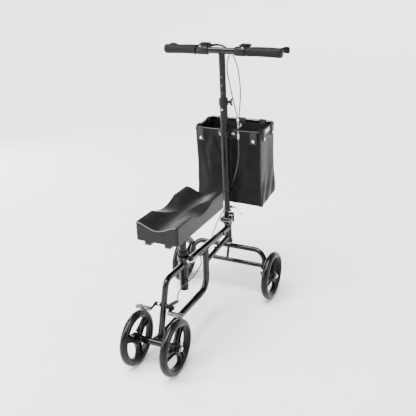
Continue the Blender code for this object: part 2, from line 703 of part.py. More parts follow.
def build_brake():
    """A shaft through the riser tube swings two shoes down on the rear tyres."""
    hinge = pivot("brake_pivot", (0, ahead(BRAKE_AHEAD), BRAKE_HEIGHT))
    shaft = add("brake_shaft", rod_mesh(0.005, -0.0600, 0.0600, "X", sides=12), STEEL, hinge)
    slope = math.atan2(-0.015, 0.063)
    join(shaft, box_mesh((0.004, 0.074, 0.011), (0.0200, 0.0290, -0.0070), (slope, 0, 0)))
    lean = math.radians(18)
    reach = WHEEL_RADIUS + 0.0070
    y = reach * math.sin(lean) - BRAKE_AHEAD
    z = AXLE_HEIGHT + reach * math.cos(lean) - BRAKE_HEIGHT
    for side, sign in (("left", -1), ("right", 1)):
        shoe = box_mesh((0.030, 0.030, 0.003), (sign * 0.0755, y, z), (-lean, 0, 0))
        shoe = add(f"brake_shoe_{side}", shoe, ZINC, hinge)
        arm = box_mesh(
            (0.006, 0.046, 0.009),
            (sign * 0.0635, y / 2 + 0.001, z / 2 + 0.003),
            (math.atan2(-z, -y), 0, 0),
        )
        join(shoe, arm)


def build():
    clear_scene()
    steering_axis = pivot("steering_axis", (0, ahead(HEAD_AHEAD), HEAD_HEIGHT), (RAKE, 0, 0))
    build_frame(steering_axis)
    build_seat_socket()
    build_wheels(steering_axis)
    build_steering(steering_axis)
    fold = pivot("fold_pivot", (0, FOLD_Y, FOLD_HEIGHT), parent=steering_axis)
    build_fold_block(fold)
    build_stem(fold)
    build_bag(fold)
    bar = pivot("height_slide", on_fold(0, 0, BAR_HEIGHT), parent=fold)
    build_handlebar(bar)
    build_cables(bar, fold)
    build_seat()
    build_brake()


build()
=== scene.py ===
"""The looks of the knee scooter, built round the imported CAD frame.

Metres. +Y is forward and +X is the right-hand side. Parts are drawn in the frames STEER, BAR and SEAT.
"""

import json
from math import atan2, copysign, cos, exp, pi, radians, sin, sqrt, tan

import bmesh
import bpy
from mathutils import Matrix, Vector


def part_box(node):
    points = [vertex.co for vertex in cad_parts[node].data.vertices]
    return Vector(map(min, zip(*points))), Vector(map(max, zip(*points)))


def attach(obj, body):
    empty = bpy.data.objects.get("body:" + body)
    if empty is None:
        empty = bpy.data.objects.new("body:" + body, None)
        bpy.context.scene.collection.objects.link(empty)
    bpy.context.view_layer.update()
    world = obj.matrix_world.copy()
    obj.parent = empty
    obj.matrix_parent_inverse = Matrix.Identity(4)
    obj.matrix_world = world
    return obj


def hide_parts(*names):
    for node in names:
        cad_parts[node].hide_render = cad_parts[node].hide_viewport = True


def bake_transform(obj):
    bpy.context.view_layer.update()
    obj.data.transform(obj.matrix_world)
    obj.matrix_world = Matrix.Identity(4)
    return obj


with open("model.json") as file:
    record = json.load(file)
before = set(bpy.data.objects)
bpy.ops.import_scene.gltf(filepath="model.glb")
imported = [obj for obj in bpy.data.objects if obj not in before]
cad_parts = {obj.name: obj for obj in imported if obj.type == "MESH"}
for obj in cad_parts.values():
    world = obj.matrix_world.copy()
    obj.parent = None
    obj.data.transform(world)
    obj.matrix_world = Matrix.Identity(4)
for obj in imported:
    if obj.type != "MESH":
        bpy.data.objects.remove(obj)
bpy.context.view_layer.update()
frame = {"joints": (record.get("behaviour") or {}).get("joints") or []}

JOINTS = {joint["name"]: joint for joint in frame["joints"]}
IDENTITY = Matrix.Identity(4)


def at(x, y, z):
    return Matrix.Translation((x, y, z))


def along_joint(name):
    """A frame on a joint's point, with Z leaned back onto the steering axis."""
    lean = atan2(-JOINTS["steering_turn"]["axis"][1], JOINTS["steering_turn"]["axis"][2])
    return Matrix.Translation(JOINTS[name]["pos_m"]) @ Matrix.Rotation(lean, 4, "X")


STEER = along_joint("steering_turn")
BAR_HEIGHT = 0.721
BAR = STEER @ at(0, 0, BAR_HEIGHT)
REAR_AXLE_Y = (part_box("rear_axle_tube")[0].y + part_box("rear_axle_tube")[1].y) / 2
AXLE_HEIGHT = 0.1016
SEAT_Y = REAR_AXLE_Y + 0.226
SEAT = at(0, SEAT_Y, 0)
FRONT_AXLE = STEER.inverted() @ Vector((0, REAR_AXLE_Y + 0.619, AXLE_HEIGHT))


def ahead(distance):
    return REAR_AXLE_Y + distance


def mid(distance, height):
    """A point on the frame's centre plane, this far ahead of the rear axle."""
    return (0, ahead(distance), height)


# Camera

LENS, SENSOR = 53.51, 36.0
STAND = (0.9673, -1.9202, 1.3484)
YAW, PITCH, ROLL = (radians(angle) for angle in (-25.705, 22.14, 1.455))

camera = bpy.data.objects.new("camera", bpy.data.cameras.new("camera"))
bpy.context.scene.collection.objects.link(camera)
bpy.context.scene.camera = camera
camera.data.lens = LENS
camera.data.sensor_width = SENSOR
camera.data.clip_start = 0.05
ahead_ray = Vector((sin(YAW) * cos(PITCH), cos(YAW) * cos(PITCH), -sin(PITCH)))
level = Vector((cos(YAW), -sin(YAW), 0))
below = ahead_ray.cross(level)
view_right = level * cos(ROLL) + below * sin(ROLL)
view_down = below * cos(ROLL) - level * sin(ROLL)
turned_to = Matrix((view_right, -view_down, -ahead_ray)).transposed().to_4x4()
camera.matrix_world = at(*STAND) @ turned_to


# Materials


def texture(tree, kind, place, **values):
    made = tree.nodes.new(kind)
    for key, value in values.items():
        if key in made.inputs:
            made.inputs[key].default_value = value
        else:
            setattr(made, key, value)
    tree.links.new(place, made.inputs["Vector"])
    return made


def set_inputs(node, **values):
    for key, value in values.items():
        node.inputs[key.replace("_", " ")].default_value = value


def surface(name, dark, light, rough, cloud=45.0, grain=700.0, bump=0.15, depth=0.0003, pattern="noise",
        gloss=0.5, **fixed):
    """A finish whose colour, roughness and grain all vary over the surface."""
    made = bpy.data.materials.new(name)
    made.use_nodes = True
    tree = made.node_tree
    shader = tree.nodes["Principled BSDF"]
    place = tree.nodes.new("ShaderNodeTexCoord").outputs["Object"]
    clouds = texture(tree, "ShaderNodeTexNoise", place, Scale=cloud, Detail=5.0, Roughness=0.6)
    ramp = tree.nodes.new("ShaderNodeValToRGB")
    for stop, position, colour in zip(ramp.color_ramp.elements, (0.32, 0.72), (dark, light)):
        stop.position = position
        stop.color = (*colour, 1.0)
    tree.links.new(clouds.outputs["Fac"], ramp.inputs["Fac"])
    tree.links.new(ramp.outputs["Color"], shader.inputs["Base Color"])
    spread = tree.nodes.new("ShaderNodeMapRange")
    set_inputs(spread, From_Min=0.3, From_Max=0.7, To_Min=rough[0], To_Max=rough[1])
    patches = texture(tree, "ShaderNodeTexNoise", place, Scale=cloud * 3.1, Detail=3.0)
    tree.links.new(patches.outputs["Fac"], spread.inputs["Value"])
    tree.links.new(spread.outputs["Result"], shader.inputs["Roughness"])
    if pattern == "cells":
        height = texture(tree, "ShaderNodeTexVoronoi", place, Scale=grain,
            feature="SMOOTH_F1").outputs["Distance"]
    elif pattern == "weave":
        height = weave(tree, place, grain)
    elif pattern == "ribs":
        height = texture(tree, "ShaderNodeTexWave", place, Scale=grain, bands_direction="Z",
            Distortion=0.6).outputs["Fac"]
    else:
        height = texture(tree, "ShaderNodeTexNoise", place, Scale=grain, Detail=3.0).outputs["Fac"]
    relief = tree.nodes.new("ShaderNodeBump")
    set_inputs(relief, Strength=bump, Distance=depth)
    tree.links.new(height, relief.inputs["Height"])
    tree.links.new(relief.outputs["Normal"], shader.inputs["Normal"])
    set_inputs(shader, Specular_IOR_Level=gloss, **fixed)
    made.diffuse_color = (*light, 1.0)
    return made


def weave(tree, place, threads):
    """Crossing threads: one set runs up the walls, the other round them."""
    parts = tree.nodes.new("ShaderNodeSeparateXYZ")
    tree.links.new(place, parts.inputs["Vector"])

    def maths(operation, first, second):
        made = tree.nodes.new("ShaderNodeMath")
        made.operation = operation
        for socket, value in zip(made.inputs, (first, second)):
            if isinstance(value, float):
                socket.default_value = value
            else:
                tree.links.new(value, socket)
        return made.outputs["Value"]

    across = maths("ADD", parts.outputs["X"], parts.outputs["Y"])
    round_walls = maths("SINE", maths("MULTIPLY", across, threads), 0.0)
    up_walls = maths("SINE", maths("MULTIPLY", parts.outputs["Z"], threads), 0.0)
    return maths("ADD", maths("MULTIPLY", round_walls, up_walls), maths("MULTIPLY", up_walls, 0.35))


PAINT = surface("gloss_black_paint", (0.0012, 0.0012, 0.0013), (0.0026, 0.0026, 0.0028), (0.1, 0.2),
    grain=260.0, bump=0.025, Coat_Weight=0.22, Coat_Roughness=0.04, gloss=0.22)
SATIN = surface("satin_black_tube", (0.0014, 0.0014, 0.0015), (0.0028, 0.0028, 0.003), (0.18, 0.28),
    grain=1400.0, bump=0.03, Coat_Weight=0.06, Coat_Roughness=0.08, gloss=0.16)
GRIP = surface("grip_rubber", (0.0024, 0.0024, 0.0026), (0.0125, 0.0125, 0.013), (0.42, 0.6), cloud=190.0,
    grain=620.0, bump=0.35, depth=0.0004, pattern="cells", gloss=0.12)
TYRE = surface("tyre_rubber", (0.0024, 0.0024, 0.0026), (0.0055, 0.0055, 0.0058), (0.2, 0.3), cloud=70.0,
    grain=1100.0, bump=0.06, gloss=0.2)
MOULDED = surface("wheel_plastic", (0.0016, 0.0016, 0.0018), (0.0036, 0.0036, 0.0039), (0.24, 0.36),
    grain=900.0, bump=0.06, gloss=0.15)
PLASTIC = surface("black_plastic", (0.0032, 0.0032, 0.0035), (0.0075, 0.0075, 0.008), (0.3, 0.44),
    grain=1000.0, bump=0.1, gloss=0.17)
FOAM = surface("pad_polyurethane", (0.0035, 0.0036, 0.0039), (0.008, 0.0082, 0.0088), (0.33, 0.45),
    cloud=55.0, grain=650.0, bump=0.2, depth=0.0004, pattern="cells", gloss=0.17)
# Much lighter than the foam: a painted highlight for the bright line along the pad's rear top edge.
PAINTED_LIP_HIGHLIGHT = surface("pad_edge_painted_highlight", (0.06, 0.06, 0.062), (0.14, 0.14, 0.145), (0.16, 0.26), cloud=80.0, grain=700.0,
    bump=0.05)
NYLON = surface("bag_nylon", (0.0014, 0.0014, 0.0015), (0.004, 0.004, 0.0043), (0.34, 0.48), cloud=26.0,
    grain=5200.0, bump=0.3, depth=0.0003, pattern="weave", Sheen_Weight=0.03, Sheen_Roughness=0.4,
    gloss=0.11)
LINING = surface("bag_lining", (0.002, 0.002, 0.0022), (0.005, 0.005, 0.0053), (0.5, 0.66), cloud=40.0,
    grain=5200.0, bump=0.4, depth=0.0003, pattern="weave", gloss=0.35)
WEBBING = surface("bag_webbing", (0.002, 0.002, 0.0022), (0.005, 0.005, 0.0053), (0.48, 0.62), grain=260.0,
    bump=0.4, depth=0.0005, pattern="ribs", Sheen_Weight=0.05, gloss=0.4)
LABEL = surface("blank_label", (0.62, 0.62, 0.6), (0.78, 0.78, 0.76), (0.6, 0.75), grain=1500.0, bump=0.2)
ZINC = surface("zinc_plate", (0.1, 0.1, 0.102), (0.26, 0.26, 0.26), (0.22, 0.36), cloud=90.0, grain=420.0,
    bump=0.12, pattern="cells", Metallic=1.0)
STEEL = surface("bright_steel", (0.46, 0.46, 0.47), (0.7, 0.7, 0.71), (0.08, 0.2), cloud=120.0, grain=1300.0,
    bump=0.06, Metallic=1.0)
DARK_STEEL = surface("dark_steel", (0.05, 0.05, 0.052), (0.1, 0.1, 0.105), (0.26, 0.4), cloud=120.0,
    grain=1100.0, bump=0.1, Metallic=1.0)
SHEATH = surface("cable_sheath", (0.003, 0.003, 0.0033), (0.007, 0.007, 0.0075), (0.24, 0.34), cloud=150.0,
    grain=1500.0, bump=0.1)
PALE_SHEATH = surface("pale_sheath", (0.1, 0.1, 0.105), (0.22, 0.22, 0.23), (0.28, 0.4), cloud=150.0,
    grain=900.0, bump=0.15)
FLOOR = surface("studio_floor", (0.88, 0.88, 0.88), (0.9, 0.9, 0.9), (0.85, 0.95), cloud=2.0, grain=60.0,
    bump=0.02)


# Mesh tools


def across(direction):
    """Two unit vectors square to a direction and to each other."""
    direction = direction.normalized()
    helper = Vector((1, 0, 0)) if abs(direction.x) < 0.8 else Vector((0, 0, 1))
    first = helper.cross(direction).normalized()
    return first, direction.cross(first)


def fillet(corners, radius, steps=12):
    """The path through these corners, with each inner corner turned into an arc."""
    path = [Vector(corners[0])]
    for before, corner, after in zip(corners, corners[1:], corners[2:]):
        corner = Vector(corner)
        back = (Vector(before) - corner).normalized()
        on = (Vector(after) - corner).normalized()
        half = back.angle(on) / 2
        centre = corner + (back + on).normalized() * (radius / sin(half))
        start = corner + back * radius / tan(half) - centre
        end = corner + on * radius / tan(half) - centre
        path += [centre + start.slerp(end, i / steps).normalized() * radius for i in range(steps + 1)]
    return path + [Vector(corners[-1])]


def smooth_path(points, count):
    """Points read evenly from a Catmull-Rom curve through these points."""
    knots = [Vector(point) for point in points]
    knots = [2 * knots[0] - knots[1]] + knots + [2 * knots[-1] - knots[-2]]
    spans = len(knots) - 3
    path = []
    for i in range(count + 1):
        place = min(i * spans / count, spans - 1e-6)
        k = int(place)
        t = place - k
        a, b, c, d = knots[k : k + 4]
        path.append(0.5 * (2 * b + (c - a) * t + (2 * a - 5 * b + 4 * c - d) * t**2
            + (3 * b - a - 3 * c + d) * t**3))
    return path


def eased(profile, cut=0.0006):
    """A (radius, along) profile with each inner corner broken by a small flat."""
    points = [Vector(point) for point in profile]
    out = [points[0]]
    for before, corner, after in zip(points, points[1:], points[2:]):
        for other in (before, after):
            step = other - corner
            out.append(corner + step.normalized() * min(cut, step.length * 0.4))
    return out + [points[-1]]


def circle(count):
    """Angles evenly round a circle."""
    return [2 * pi * k / count for k in range(count)]


def arc(start, step, count):
    """Evenly stepped angles, given in degrees."""
    return [radians(start + step * i) for i in range(count)]


def spin_x(degrees):
    return Matrix.Rotation(radians(degrees), 4, "X")


class Shape:
    """Gathers closed shells into one mesh. Everything added is moved by place."""

    def __init__(self, place=IDENTITY):
        self.place = place
        self.points = []
        self.faces = []
        self.marks = []

    def take(self, points, faces, mark=0):
        start = len(self.points)
        self.points += [self.place @ Vector(point) for point in points]
        self.faces += [[start + i for i in face] for face in faces]
        self.marks += [mark] * len(faces)
        return self

    def rings(self, rings, mark=0, closed=False, capped=True):
        """A skin through rings of equally many points."""
        sides = len(rings[0])
        faces = []
        for i in range(len(rings) if closed else len(rings) - 1):
            j = (i + 1) % len(rings)
            for k in range(sides):
                n = (k + 1) % sides
                faces.append((i * sides + k, i * sides + n, j * sides + n, j * sides + k))
        if capped and not closed:
            faces += [tuple(reversed(range(sides))), tuple(range((len(rings) - 1) * sides,
                len(rings) * sides))]
        return self.take([point for ring in rings for point in ring], faces, mark)

    def sweep(self, path, radius, sides=36, mark=0, closed=False, edge=0.0006):
        """A round bar along a path; radius is one number, or one for each point."""
        path = [Vector(point) for point in path]
        radii = list(radius) if isinstance(radius, (list, tuple)) else [radius] * len(path)
        if not closed:
            first = path[0] + (path[1] - path[0]).normalized() * edge
            last = path[-1] + (path[-2] - path[-1]).normalized() * edge
            path = [path[0], first, *path[1:-1], last, path[-1]]
            radii = [radii[0] - edge, radii[0], *radii[1:-1], radii[-1], radii[-1] - edge]
        count = len(path)
        rings = []
        side = None
        for i in range(count):
            before = path[i - 1] if closed or i else path[i]
            after = path[(i + 1) % count] if closed or i + 1 < count else path[i]
            run = (after - before).normalized()
            side = across(run)[0] if side is None else (side - run * side.dot(run)).normalized()
            other = run.cross(side)
            rings.append([path[i] + (side * cos(a) + other * sin(a)) * radii[i] for a in circle(sides)])
        return self.rings(rings, mark, closed)

    def turned(self, profile, origin=(0, 0, 0), axis=(0, 0, 1), sides=48, mark=0, closed=False):
        """A (radius, along) profile turned about an axis. A closed profile makes a ring."""
        origin = Vector(origin)
        axis = Vector(axis).normalized()
        side, other = across(axis)
        rings = []
        for radius, rise in profile:
            reach = max(radius, 1e-5)
            rings.append([origin + axis * rise + (side * cos(a) + other * sin(a)) * reach
                for a in circle(sides)])
        return self.rings(rings, mark, closed)

    def rod(self, radius, low, high, origin=(0, 0, 0), axis=(0, 0, 1), sides=48, mark=0, cut=0.0006):
        """A solid round bar with its edges broken."""
        profile = [(0, low), (radius, low), (radius, high), (0, high)]
        return self.turned(eased(profile, cut), origin, axis, sides, mark)

    def sleeve(self, bore, radius, low, high, origin=(0, 0, 0), axis=(0, 0, 1), sides=48, mark=0,
            cut=0.0006):
        """A round tube with its outer edges broken."""
        profile = [(bore, low), (radius, low), (radius, high), (bore, high)]
        return self.turned(eased(profile, cut), origin, axis, sides, mark, closed=True)

    def hexagon(self, radius, low, high, origin, axis, mark=0, washer=0.0):
        """A chamfered hexagon head, with a round washer face under it."""
        chamfer = radius * 0.12
        rise = high - low
        profile = [(radius, low), (radius, high - chamfer * 0.6)]
        profile += [(radius - chamfer, high), (radius * 0.5, high + rise * 0.02)]
        self.turned(profile, origin, axis, 6, mark)
        if washer:
            self.rod(washer, low - 0.0012, low, origin, axis, 36, mark, cut=0.0003)
        return self

    def solid(self, bm, bevel, to, mark):
        bmesh.ops.recalc_face_normals(bm, faces=bm.faces)
        if bevel:
            bmesh.ops.bevel(bm, geom=bm.edges[:], offset=bevel, segments=2, profile=0.5, affect="EDGES",
                clamp_overlap=True)
        bm.verts.index_update()
        self.take([to @ v.co for v in bm.verts], [[v.index for v in face.verts] for face in bm.faces], mark)
        bm.free()
        return self

    def block(self, size, centre=(0, 0, 0), bevel=0.0008, turn=IDENTITY, mark=0):
        bm = bmesh.new()
        bmesh.ops.create_cube(bm, size=1.0)
        bmesh.ops.scale(bm, vec=Vector(size), verts=bm.verts)
        return self.solid(bm, bevel, Matrix.Translation(centre) @ turn, mark)

    def slab(self, outline, low, high, bevel=0.0006, plane="YZ", turn=IDENTITY, mark=0):
        """A flat outline given in a plane and thickened along the third axis."""
        order = {"YZ": (2, 0, 1), "XY": (0, 1, 2), "XZ": (0, 2, 1)}[plane]
        bm = bmesh.new()
        layers = [[bm.verts.new([(u, v, h)[k] for k in order]) for u, v in outline] for h in (low, high)]
        bm.faces.new(layers[0])
        bm.faces.new(reversed(layers[1]))
        for i in range(len(outline)):
            j = (i + 1) % len(outline)
            bm.faces.new((layers[0][j], layers[0][i], layers[1][i], layers[1][j]))
        return self.solid(bm, bevel, turn, mark)

    def spring(self, start, axis, length, radius, wire, turns, mark=0):
        side, other = across(Vector(axis))
        count = int(turns * 14)
        path = []
        for i in range(count + 1):
            a = 2 * pi * turns * i / count
            path.append(Vector(start) + Vector(axis) * length * i / count
                + (side * cos(a) + other * sin(a)) * radius)
        return self.sweep(path, wire, 8, mark, edge=0.0002)

    def weld(self, point, run, radius, other, other_run, other_radius, size=0.0022, mark=0):
        """A rippled bead where a tube, starting outside and running on, meets another tube."""
        point, run, other, other_run = (Vector(v) for v in (point, run, other, other_run))
        run.normalize()
        other_run.normalize()
        side, up = across(run)
        path = []
        for a in circle(48):
            start = point + (side * cos(a) + up * sin(a)) * radius
            off = start - other
            off -= other_run * off.dot(other_run)
            step = run - other_run * run.dot(other_run)
            half = off.dot(step)
            inside = max(half * half - step.dot(step) * (off.dot(off) - other_radius**2), 0.0)
            path.append(start + run * ((-half - sqrt(inside)) / step.dot(step)))
        return self.sweep(path, [size * (1 + 0.16 * sin(k * 2 * pi / 3)) for k in range(48)], 10, mark,
            closed=True)

    def piece(self, name, body, slot, materials, replaces=(), sharp=38):
        mesh = bpy.data.meshes.new(name)
        mesh.from_pydata([tuple(point) for point in self.points], [], self.faces)
        for made in materials if isinstance(materials, (list, tuple)) else [materials]:
            mesh.materials.append(made)
        mesh.polygons.foreach_set("material_index", self.marks)
        bm = bmesh.new()
        bm.from_mesh(mesh)
        bmesh.ops.recalc_face_normals(bm, faces=bm.faces)
        bm.to_mesh(mesh)
        bm.free()
        mesh.shade_smooth()
        mesh.set_sharp_from_angle(angle=radians(sharp))
        made = bpy.data.objects.new(name, mesh)
        bpy.context.scene.collection.objects.link(made)
        if body:
            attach(made, body)
        if replaces:
            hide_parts(*replaces)
        return made


X, Y, Z = (1, 0, 0), (0, 1, 0), (0, 0, 1)
SIDES = (("left", -1), ("right", 1))


# Cables come first

LEFT_CABLE = [(-0.0655, 0.034, 0.0105), (-0.03, 0.036, 0.014), (0.006, 0.031, 0.006), (0.024, 0.019, -0.011),
    (0.0165, 0.0125, -0.042), (0.0165, 0.009, -0.08), (0.036, -0.004, -0.153), (0.05, -0.012, -0.197),
    (0.059, -0.012, -0.238), (0.0606, -0.012, -0.2538)]
RIGHT_CABLE = [(0.0655, 0.034, 0.012), (0.046, 0.034, 0.003), (0.0365, 0.024, -0.016),
    (0.048, 0.013, -0.036), (0.06, 0.007, -0.06), (0.0704, 0.0, -0.114), (0.074, -0.006, -0.169),
    (0.0695, -0.012, -0.237), (0.0664, -0.012, -0.2538)]
STEM_CABLE = [(0.0634, -0.012, 0.384), (0.0631, -0.012, 0.3168), (0.052, -0.011, 0.257),
    (0.04, -0.004, 0.2194), (0.0275, 0.0085, 0.19), (0.0155, 0.0172, 0.165), (0.006, 0.0205, 0.148),
    (-0.006, 0.0205, 0.125), (-0.015, 0.0185, 0.1), (-0.0185, 0.0165, 0.078), (-0.0195, 0.011, 0.0585),
    (-0.0195, -0.007, 0.052), (-0.0193, -0.025, 0.0467), (-0.019, -0.044, 0.0407)]
FRAME_CABLE = [(-0.019, 0.589, 0.3377), (-0.019, 0.565, 0.3245), (-0.0187, 0.5285, 0.2965),
    (-0.0182, 0.51, 0.279), (-0.017, 0.495, 0.2655), (-0.0168, 0.475, 0.2575), (-0.0182, 0.445, 0.2535),
    (-0.019, 0.42, 0.253), (-0.015, 0.396, 0.2525), (0.0, 0.37, 0.2515), (0.015, 0.34, 0.249),
    (0.02, 0.3, 0.243), (0.0215, 0.257, 0.238), (0.0215, 0.21, 0.239), (0.0205, 0.174, 0.239),
    (0.02, 0.146, 0.231), (0.02, 0.133, 0.218), (0.02, 0.13, 0.209)]


def cable(name, path, radius):
    """A brake cable swept as a fixed tube along its path, from a fixed point on one body to one on another.
    """
    made = Shape().sweep(path, radius, 16, edge=0.0004).piece(name, None, "cable_sheath", SHEATH,
        (name.replace("_run", ""),))
    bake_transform(made)
    return made


left_path = [BAR @ point for point in smooth_path(LEFT_CABLE, 72)]
right_path = [BAR @ point for point in smooth_path(RIGHT_CABLE, 72)]
stem_path = [STEER @ Vector((0.0634, -0.012, 0.455)), STEER @ Vector((0.0634, -0.012, 0.43))]
stem_path += [STEER @ point for point in smooth_path(STEM_CABLE, 60)]
frame_path = [Vector((x, ahead(y), z)) for x, y, z in smooth_path(FRAME_CABLE, 96)]

JOINER = (0.0634, -0.012, 0)
joiner = Shape(STEER)
joiner.sweep([(0.0634, -0.012, 0.467), (0.0634, -0.012, 0.4552)], 0.0046, 28, edge=0.0014)
joiner.rod(0.0029, 0.404, 0.455, JOINER, Z, 24, 1, cut=0.0005)
joiner.turned([(0.0027, 0.383), (0.003, 0.3836), (0.0044, 0.4), (0.0044, 0.4028), (0.0036, 0.4036)], JOINER,
    Z, 28)
joiner.turned([(0.0042, 0.418), (0.0046, 0.4186), (0.0046, 0.4262), (0.0042, 0.4268), (0.003, 0.4268),
    (0.003, 0.418)], JOINER, Z, 24, 2, closed=True)
loop = [Vector((0.0075 * sin(t) + 0.006, 0, 0.0075 * cos(t))) for t in circle(24)]
joiner.sweep([Vector((0.0634, -0.012, 0.442)) + point for point in loop], 0.0009, 10, closed=True)
joiner = joiner.piece("cable_joiner", "stem", "bright_steel", [STEEL, PALE_SHEATH, PLASTIC])

CABLE_RADIUS = 0.0023
cable("brake_cable_left_run", left_path, CABLE_RADIUS)
cable("brake_cable_right_run", right_path, CABLE_RADIUS)
cable("brake_cable_stem_run", stem_path, 0.0026)
cable("brake_cable_frame_run", frame_path, CABLE_RADIUS)


# Wheels


def tyre(name, body, centre):
    bead, round_off = 0.0871, 0.0145
    outline = []
    for degrees in range(-100, 101, 4):
        a = radians(degrees)
        ridge = 0.0011 if abs(degrees) in (40, 44, 68, 72) else 0.0
        outline.append((bead + (round_off - ridge) * cos(a), (round_off - ridge) * sin(a)))
    outline += [(0.0824, 0.013), (0.0822, 0.0114), (0.0822, -0.0114), (0.0824, -0.013)]
    made = Shape().turned(outline, centre, X, 112, closed=True)
    return made.piece(f"{name}_rubber", body, "tyre", TYRE, (name,), 50)


def spoke_edge(t, sign):
    """One side of a spoke, from the hub at t = 0 to the rim at t = 1, curved like a leaf."""
    along = 0.0145 + t * 0.0615
    wide = 0.0112 + 0.008 * abs(2 * t - 1) ** 2.4
    return Vector((along, sign * wide + 0.005 * sin(pi * t)))


def wheel(name, body, centre, phase):
    made = Shape(Matrix.Translation(centre))
    rim = [(0.0815, -0.0114), (0.0815, 0.0114), (0.0797, 0.0114), (0.079, 0.01), (0.0768, 0.0096),
        (0.0764, 0.0072), (0.0745, 0.006), (0.0745, -0.006), (0.0764, -0.0072), (0.0768, -0.0096),
        (0.079, -0.01), (0.0797, -0.0114)]
    made.turned(rim, axis=X, sides=112, closed=True)
    hub = [(0.0056, -0.0185), (0.013, -0.0185), (0.0138, -0.0178), (0.0144, -0.012), (0.0172, -0.0105),
        (0.0175, -0.0085), (0.0175, 0.0085), (0.0172, 0.0105), (0.0144, 0.012), (0.0138, 0.0178),
        (0.013, 0.0185), (0.0056, 0.0185)]
    made.turned(hub, axis=X, sides=56, closed=True)
    for side in (-1, 1):
        race = [(0.0058, side * 0.018), (0.0105, side * 0.018), (0.0105, side * 0.0187),
            (0.0058, side * 0.0187)]
        made.turned(race, axis=X, sides=40, mark=1, closed=True)
    steps = [i / 10 for i in range(11)]
    for i in range(3):
        turn = spin_x(phase + 120 * i)
        web = [spoke_edge(t, -1) for t in steps] + [spoke_edge(t, 1) for t in reversed(steps)]
        made.slab(web, -0.0032, 0.0032, 0.0005, turn=turn)
        for sign in (-1, 1):
            outer = [spoke_edge(t, sign) for t in steps]
            inner = [point - Vector((0, sign * 0.0042)) for point in outer]
            made.slab(outer + inner[::-1], -0.0086, 0.0086, 0.0011, turn=turn)
    return made.piece(f"{name}_casting", body, "wheel_plastic", [MOULDED, STEEL], (name,), 32)


REAR_TRACK, FRONT_TRACK = 0.0775, 0.205
for side, sign in SIDES:
    rear = Vector((sign * REAR_TRACK, ahead(0), AXLE_HEIGHT))
    front = STEER @ Vector((sign * FRONT_TRACK, FRONT_AXLE.y, FRONT_AXLE.z))
    tyre(f"tyre_rear_{side}", f"wheel_rear_{side}", rear)
    wheel(f"wheel_rear_{side}", f"wheel_rear_{side}", rear, 30 if sign < 0 else 55)
    tyre(f"tyre_front_{side}", f"wheel_front_{side}", front)
    wheel(f"wheel_front_{side}", f"wheel_front_{side}", front, 20 if sign < 0 else 64)
    bolt = Shape(at(0, ahead(0), AXLE_HEIGHT))
    axis = (sign, 0, 0)
    bolt.rod(0.005, 0.0586, 0.0972, axis=axis, sides=28)
    bolt.hexagon(0.009, 0.0982, 0.1032, (0, 0, 0), axis, washer=0.0092)
    bolt.rod(0.009, 0.0578, 0.0587, axis=axis, sides=36, cut=0.0002)
    bolt.piece(f"rear_axle_bolt_{side}", "frame", "bright_steel", STEEL, (f"rear_bolt_{side}",))
    bolt = Shape(STEER @ at(0, FRONT_AXLE.y, FRONT_AXLE.z))
    bolt.rod(0.005, 0.156, 0.2245, axis=axis, sides=28)
    bolt.hexagon(0.009, 0.2252, 0.23, (0, 0, 0), axis, washer=0.0092)
    bolt.sleeve(0.0052, 0.0088, 0.1724, 0.186, axis=axis, sides=36)
    bolt.hexagon(0.009, -0.1625, -0.156, (0, 0, 0), (-sign, 0, 0), washer=0.0092)
    bolt.piece(f"front_axle_bolt_{side}", "steering", "bright_steel", STEEL, (f"front_bolt_{side}",))


# Frame

BEAM_RADIUS, LOWER_BEAM_RADIUS, KEEL_RADIUS, RISER_RADIUS = 0.0135, 0.0105, 0.0133, 0.0115
HEAD_RADIUS, AXLE_PLACE = 0.016, (0, ahead(0), AXLE_HEIGHT)
KEEL_Y, BRAKE_PIVOT = ahead(0.4135), mid(0.067, 0.215)
HEAD_TOP = mid(0.636, 0.2798)
RISER = [(0, SEAT_Y, 0.299), mid(0.092, 0.302), mid(0.034, 0.1)]
KEEL = [(0, KEEL_Y, 0.287), (0, KEEL_Y, 0.107), mid(0.003, 0.1065)]
HEAD_AXIS = STEER.to_3x3() @ Vector(Z)

beam = Shape()
beam.sweep([HEAD_TOP, mid(0.43, 0.28854), (0, SEAT_Y, 0.2972)], BEAM_RADIUS, 44)
beam.weld(mid(0.5, 0.2856), (0, 1, -0.0424), BEAM_RADIUS, STEER.translation, HEAD_AXIS, HEAD_RADIUS)
beam.weld(mid(0.34, 0.2924), (0, -1, 0.0424), BEAM_RADIUS, (0, SEAT_Y, 0), Z, HEAD_RADIUS)
beam.piece("upper_beam_tube", "frame", "black_paint", PAINT, ("upper_beam",))

beam = Shape()
beam.sweep([mid(0.636, 0.2392), (0, KEEL_Y, 0.2225)], LOWER_BEAM_RADIUS, 40)
beam.weld(mid(0.55, 0.2327), (0, 1, 0.0751), LOWER_BEAM_RADIUS, STEER.translation, HEAD_AXIS, HEAD_RADIUS,
    0.0019)
beam.weld(mid(0.5, 0.229), (0, -1, -0.0751), LOWER_BEAM_RADIUS, (0, KEEL_Y, 0), Z, KEEL_RADIUS, 0.0019)
beam.piece("lower_beam_tube", "frame", "black_paint", PAINT, ("lower_beam",))

keel = Shape()
keel.sweep(fillet(KEEL, 0.05, 16), KEEL_RADIUS, 44)
keel.weld((0, KEEL_Y, 0.24), Z, KEEL_RADIUS, (0, KEEL_Y, 0.28924), (0, 1, -0.0424), BEAM_RADIUS)
keel.weld(mid(0.08, 0.1066), (0, -1, 0), KEEL_RADIUS, AXLE_PLACE, X, 0.0131, 0.0026)
keel.turned([(0.013, -0.0022), (0.0143, -0.0012), (0.0146, 0), (0.0143, 0.0012), (0.013, 0.0022)],
    mid(0.343, 0.1069), Y, 44)
keel.piece("keel_main_tube", "frame", "black_paint", PAINT, ("keel_tube",))

